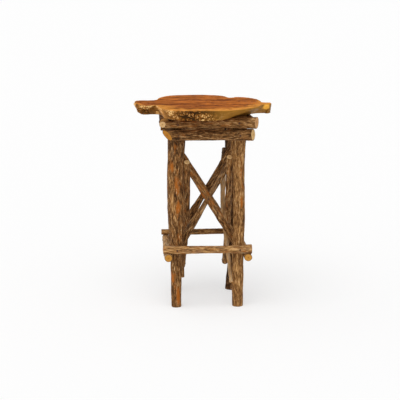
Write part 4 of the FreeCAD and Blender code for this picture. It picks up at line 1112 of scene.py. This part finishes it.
def slab_edge_material():
    """Burl edge, peeled and oiled: cream-tan knobs over olive-brown creases, and smooth sapwood."""
    slab = bpy.context.scene.slab_settings
    material, tree, shader = new_material("burl edge peeled and oiled", {
        "Roughness": 0.55, "IOR": 1.5, "Specular IOR Level": 0.08})
    place = add(tree, "ShaderNodeAttribute", attribute_name="grain").outputs["Vector"]
    burl_tone_and_shade = add(tree, "ShaderNodeAttribute", attribute_name="burl_tone_and_shade").outputs["Fac"]
    burl = add(tree, "ShaderNodeAttribute", attribute_name="burl").outputs["Fac"]
    parts = add(tree, "ShaderNodeSeparateXYZ", {"Vector": place})
    # Specks break up the knobs, which are painted darker low down, as shade where the edge leans under, and a
    # little lighter at the top
    speck = add(tree, "ShaderNodeTexNoise", {
        "Vector": place, "Scale": 1 / SPECK_WIDTH, "Detail": 4, "Roughness": 0.65}).outputs["Fac"]
    level = add(tree, "ShaderNodeMath", {
        0: speck, 1: SPECK_TONE_SHARE, 2: burl_tone_and_shade}, operation="MULTIPLY_ADD").outputs[0]
    low = add(tree, "ShaderNodeMapRange", {
        "Value": parts.outputs["Z"], "From Min": PAINTED_SHADE_HEIGHTS[0], "From Max": PAINTED_SHADE_HEIGHTS[1],
        "To Min": -0.09, "To Max": 0.1}).outputs["Result"]
    level = add(tree, "ShaderNodeMath", {0: level, 1: low}, operation="ADD").outputs[0]
    level = add(tree, "ShaderNodeMapRange", {
        "Value": level, "From Min": -1.12, "From Max": -0.52}).outputs["Result"]
    knobs = add(tree, "ShaderNodeValToRGB", {"Fac": level}, (
        (0, slab.knob_colour), (0.4, slab.burl_colour), (1, slab.crease_and_shade_colour))).outputs["Color"]
    # The sapwood has faint lines that run round the slab
    drawn = add(tree, "ShaderNodeMapping", {"Vector": place, "Scale": LINE_SHARES}).outputs["Vector"]
    line = add(tree, "ShaderNodeTexNoise", {
        "Vector": drawn, "Scale": 1 / LINE_WIDTH, "Detail": 3}).outputs["Fac"]
    shade = add(tree, "ShaderNodeMapRange", {
        "Value": line, "From Min": 0.3, "From Max": 0.7, "To Min": 0.78, "To Max": 1.12}).outputs["Result"]
    sap = add(tree, "ShaderNodeVectorMath", {
        0: slab.sapwood_colour[:3], "Scale": shade}, operation="SCALE").outputs["Vector"]
    # The wood is gold at the left end and duller to the right
    golden = add(tree, "ShaderNodeMapRange", {
        "Value": parts.outputs["X"], "From Min": GOLD_END[0], "From Max": GOLD_END[1]}).outputs["Result"]
    sap = add(tree, "ShaderNodeMix", {0: golden, 6: sap, 7: slab.gold_colour}, data_type="RGBA").outputs[2]
    # The knobs at the left end take some gold, partly the wood's colour and partly painted light lifting the
    # shade where the edge leans in.
    gold_and_painted_light = add(tree, "ShaderNodeMath", {0: golden, 1: GOLD_AND_LIGHT_SHARE}, operation="MULTIPLY").outputs[0]
    knobs = add(tree, "ShaderNodeMix", {0: gold_and_painted_light, 6: knobs, 7: slab.gold_colour}, data_type="RGBA").outputs[2]
    whole = add(tree, "ShaderNodeMix", {0: burl, 6: sap, 7: knobs}, data_type="RGBA").outputs[2]
    # A bright amber spot: partly the lobe's own orange wood, partly a painted highlight of its shiny end
    away = add(tree, "ShaderNodeVectorMath", {
        0: place, 1: AMBER_AND_HIGHLIGHT_SPOT}, operation="DISTANCE").outputs["Value"]
    amber_and_highlight = add(tree, "ShaderNodeMapRange", {
        "Value": away, "From Min": AMBER_AND_HIGHLIGHT_RADII[0], "From Max": AMBER_AND_HIGHLIGHT_RADII[1]}).outputs["Result"]
    whole = add(tree, "ShaderNodeMix", {
        0: amber_and_highlight, 6: whole, 7: slab.amber_and_highlight_colour}, data_type="RGBA").outputs[2]
    tree.links.new(whole, shader.inputs["Base Color"])
    raised = add(tree, "ShaderNodeBump", {"Height": speck, "Distance": 0.6 * MM, "Strength": 0.6})
    tree.links.new(raised.outputs["Normal"], shader.inputs["Normal"])
    return material


# The underside, in millimetres: from one saw mark to the next, and how wide its streaks are, with
# how much of that they show along the slab. At scale 1 the wave texture turns 20 radians in a unit.
UNDERSIDE_MARKS = 3
UNDERSIDE_STREAKS = 9
UNDERSIDE_SHARES = (0.2, 1, 1)
WAVE_TURN = 20


def slab_underside_material():
    """Burl, sawn and left bare underneath: dull, with straight saw marks across it."""
    slab = bpy.context.scene.slab_settings
    material, tree, shader = new_material("burl wood sawn and left bare", {"Roughness": 0.75, "IOR": 1.5})
    place = add(tree, "ShaderNodeAttribute", attribute_name="grain").outputs["Vector"]
    drawn = add(tree, "ShaderNodeMapping", {"Vector": place, "Scale": UNDERSIDE_SHARES}).outputs["Vector"]
    streak = add(tree, "ShaderNodeTexNoise", {
        "Vector": drawn, "Scale": 1 / UNDERSIDE_STREAKS, "Detail": 4}).outputs["Fac"]
    figure = add(tree, "ShaderNodeValToRGB", {"Fac": streak}, (
        (0.3, slab.dark_colour), (0.75, slab.light_colour))).outputs["Color"]
    tree.links.new(figure, shader.inputs["Base Color"])
    marks = add(tree, "ShaderNodeTexWave", {
        "Vector": place, "Scale": 2 * math.pi / (WAVE_TURN * UNDERSIDE_MARKS), "Distortion": 1.5},
        bands_direction="Y").outputs["Fac"]
    raised = add(tree, "ShaderNodeBump", {"Height": marks, "Distance": 0.3 * MM, "Strength": 0.5})
    tree.links.new(raised.outputs["Normal"], shader.inputs["Normal"])
    return material


# How wide the rust's spots are, in millimetres
RUST_WIDTH = 2


def nail_material():
    """Cut iron, black from the fire with a little rust: dull and dark, so the heads read as square dots."""
    nails = bpy.context.scene.nail_settings
    material, tree, shader = new_material("cut iron blackened", {"Metallic": 0.7, "Roughness": 0.62})
    place = add(tree, "ShaderNodeTexCoord").outputs["Object"]
    rust = add(tree, "ShaderNodeTexNoise", {
        "Vector": place, "Scale": 1 / (RUST_WIDTH * MM), "Detail": 3}).outputs["Fac"]
    coloured = add(tree, "ShaderNodeValToRGB", {"Fac": rust}, (
        (0.4, nails.iron_colour), (0.75, nails.rust_colour))).outputs["Color"]
    tree.links.new(coloured, shader.inputs["Base Color"])
    return material


class TABLE_OT_make_legs(bpy.types.Operator):
    """Make the four legs"""
    bl_idname = "rustic_table.make_legs"
    bl_label = "Legs"

    def execute(self, context):
        make_sticks("_leg", context.scene.bark_settings)
        return {"FINISHED"}


class TABLE_OT_make_rails(bpy.types.Operator):
    """Make the six rails under the slab"""
    bl_idname = "rustic_table.make_rails"
    bl_label = "Rails"

    def execute(self, context):
        make_sticks("_rail", context.scene.bark_settings)
        return {"FINISHED"}


class TABLE_OT_make_stretchers(bpy.types.Operator):
    """Make the four stretchers"""
    bl_idname = "rustic_table.make_stretchers"
    bl_label = "Stretchers"

    def execute(self, context):
        make_sticks("_stretcher", context.scene.bark_settings)
        return {"FINISHED"}


class TABLE_OT_make_braces(bpy.types.Operator):
    """Make the eight crossed braces"""
    bl_idname = "rustic_table.make_braces"
    bl_label = "Braces"

    def execute(self, context):
        make_sticks("_brace", context.scene.bark_settings)
        return {"FINISHED"}


class TABLE_OT_make_slab(bpy.types.Operator):
    """Make the burl slab"""
    bl_idname = "rustic_table.make_slab"
    bl_label = "Slab"

    def execute(self, context):
        make_slab(context.scene.slab_settings)
        return {"FINISHED"}


class TABLE_OT_finish_nails(bpy.types.Operator):
    """Give the frame's own nails their iron"""
    bl_idname = "rustic_table.finish_nails"
    bl_label = "Nails"

    def execute(self, context):
        iron = nail_material()
        for name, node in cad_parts.items():
            if name.endswith("_nails"):
                node.material_slots[0].material = iron
        return {"FINISHED"}


class TABLE_OT_set_stage(bpy.types.Operator):
    """Set the floor, the lamps and the camera"""
    bl_idname = "rustic_table.set_stage"
    bl_label = "Stage"

    def execute(self, context):
        set_stage(context.scene.stage_settings)
        return {"FINISHED"}


# The camera, in metres and degrees: where it stands, how far it is turned right and tipped down,
# and how far it sees
CAMERA_PLACE = (-0.282, -4.488, 1.324)
CAMERA_TURN = 3.5
CAMERA_TIP = 11.77
CAMERA_SIGHT = 100
# Its lens and its film's width, in millimetres
CAMERA_LENS = 108
CAMERA_FILM = 36
# The key lamp: which way it shines, and how many degrees of the sky it fills
KEY_AIM = (0.15, 0.4, -1)
KEY_SPREAD = 50
# The sky is brightest this way, and by this share above and below its mean
SKY_FROM = (-0.66, -0.56, 0.5)
SKY_SLOPE = 0.8
# The floor's side in metres, and how much of it the camera sees as bare white
FLOOR_SIZE = 120
FLOOR_WHITE_SHARE = 0.5
WHITE = (1, 1, 1, 1)


def placed(name, data):
    """An object with this data, in the scene."""
    thing = bpy.data.objects.new(name, data)
    bpy.context.scene.collection.objects.link(thing)
    return thing


def floor_material(stage):
    """Plain matt floor: it takes the table's soft shadow and shines nowhere."""
    material, tree, shader = new_material("plain matt floor", {
        "Base Color": stage.floor_colour, "Roughness": 1, "Specular IOR Level": 0})
    # The camera sees the floor half as bare white, which keeps the shadow and makes it fainter
    seen = add(tree, "ShaderNodeLightPath").outputs["Is Camera Ray"]
    share = add(tree, "ShaderNodeMath", {0: seen, 1: FLOOR_WHITE_SHARE}, operation="MULTIPLY").outputs[0]
    bare = add(tree, "ShaderNodeEmission", {"Color": WHITE, "Strength": 1})
    paler = add(tree, "ShaderNodeMixShader", {0: share, 1: shader.outputs["BSDF"], 2: bare.outputs[0]})
    tree.links.new(paler.outputs[0], tree.nodes["Material Output"].inputs["Surface"])
    return material


def soft_sky(stage):
    """A sky that lights the table softly, more from the left and the front, and looks white itself."""
    world = bpy.data.worlds.new("soft sky")
    world.use_nodes = True
    tree = world.node_tree
    tree.nodes.clear()
    path = add(tree, "ShaderNodeLightPath")
    seen = path.outputs["Is Camera Ray"]
    for ray in ("Is Glossy Ray", "Is Transmission Ray"):
        seen = add(tree, "ShaderNodeMath", {0: seen, 1: path.outputs[ray]}, operation="MAXIMUM").outputs[0]
    way = add(tree, "ShaderNodeTexCoord").outputs["Generated"]
    facing = add(tree, "ShaderNodeVectorMath", {
        0: way, 1: SKY_FROM}, operation="DOT_PRODUCT").outputs["Value"]
    strength = add(tree, "ShaderNodeMapRange", {
        "Value": facing, "From Min": -1, "From Max": 1,
        "To Min": stage.sky_strength * (1 - SKY_SLOPE),
        "To Max": stage.sky_strength * (1 + SKY_SLOPE)}).outputs["Result"]
    lit = add(tree, "ShaderNodeBackground", {"Color": WHITE, "Strength": strength})
    white = add(tree, "ShaderNodeBackground", {"Color": WHITE, "Strength": 1})
    both = add(tree, "ShaderNodeMixShader", {0: seen, 1: lit.outputs[0], 2: white.outputs[0]})
    add(tree, "ShaderNodeOutputWorld", {"Surface": both.outputs[0]})
    return world


def set_stage(stage):
    """A plain pale floor, a soft sky, one large lamp, and a camera where the photographer stood."""
    half = FLOOR_SIZE / 2
    mesh = bpy.data.meshes.new("floor")
    corners = [(-half, -half, 0), (half, -half, 0), (half, half, 0), (-half, half, 0)]
    mesh.from_pydata(corners, [], [(0, 1, 2, 3)])
    mesh.materials.append(floor_material(stage))
    floor = placed("floor", mesh)
    bpy.context.scene.world = soft_sky(stage)

    lamp = bpy.data.lights.new("key lamp", "SUN")
    lamp.angle = math.radians(KEY_SPREAD)
    lamp.energy = stage.key_strength
    placed("key lamp", lamp).rotation_euler = Vector(KEY_AIM).to_track_quat("-Z", "Y").to_euler()

    camera = bpy.data.cameras.new("camera")
    camera.lens = CAMERA_LENS
    camera.sensor_width = CAMERA_FILM
    camera.clip_end = CAMERA_SIGHT
    holder = placed("camera", camera)
    holder.location = CAMERA_PLACE
    holder.rotation_euler = (math.radians(90 - CAMERA_TIP), 0, math.radians(-CAMERA_TURN))
    bpy.context.scene.camera = holder
    bpy.context.scene.view_settings.view_transform = "Standard"


class VIEW3D_PT_rustic_table(bpy.types.Panel):
    """The table's pieces, in the order that they are made"""
    bl_label = "Rustic table"
    bl_space_type = "VIEW_3D"
    bl_region_type = "UI"
    bl_category = "Table"

    def draw(self, context):
        layout = self.layout
        for group in SETTINGS:
            settings = getattr(context.scene, group)
            for key in settings.bl_rna.properties.keys():
                if key not in ("rna_type", "name"):
                    layout.prop(settings, key)
        for operator in OPERATORS:
            layout.operator(operator.bl_idname)


OPERATORS = (
    TABLE_OT_make_legs,
    TABLE_OT_make_rails,
    TABLE_OT_make_stretchers,
    TABLE_OT_make_braces,
    TABLE_OT_make_slab,
    TABLE_OT_finish_nails,
    TABLE_OT_set_stage,
)
SETTINGS = {
    "bark_settings": BarkSettings,
    "sawn_end_settings": SawnEndSettings,
    "slab_settings": SlabSettings,
    "nail_settings": NailSettings,
    "stage_settings": StageSettings,
}


def register():
    for group in SETTINGS.values():
        bpy.utils.register_class(group)
    for kind in (*OPERATORS, VIEW3D_PT_rustic_table):
        bpy.utils.register_class(kind)
    for key, group in SETTINGS.items():
        setattr(bpy.types.Scene, key, PointerProperty(type=group))


def unregister():
    for key in SETTINGS:
        delattr(bpy.types.Scene, key)
    for kind in reversed((*OPERATORS, VIEW3D_PT_rustic_table)):
        bpy.utils.unregister_class(kind)
    for group in reversed(list(SETTINGS.values())):
        bpy.utils.unregister_class(group)


def main():
    register()
    bpy.ops.rustic_table.make_legs()
    bpy.ops.rustic_table.make_rails()
    bpy.ops.rustic_table.make_stretchers()
    bpy.ops.rustic_table.make_braces()
    bpy.ops.rustic_table.make_slab()
    bpy.ops.rustic_table.finish_nails()
    bpy.ops.rustic_table.set_stage()
    bpy.context.view_layer.update()


if __name__ == "__main__":
    main()
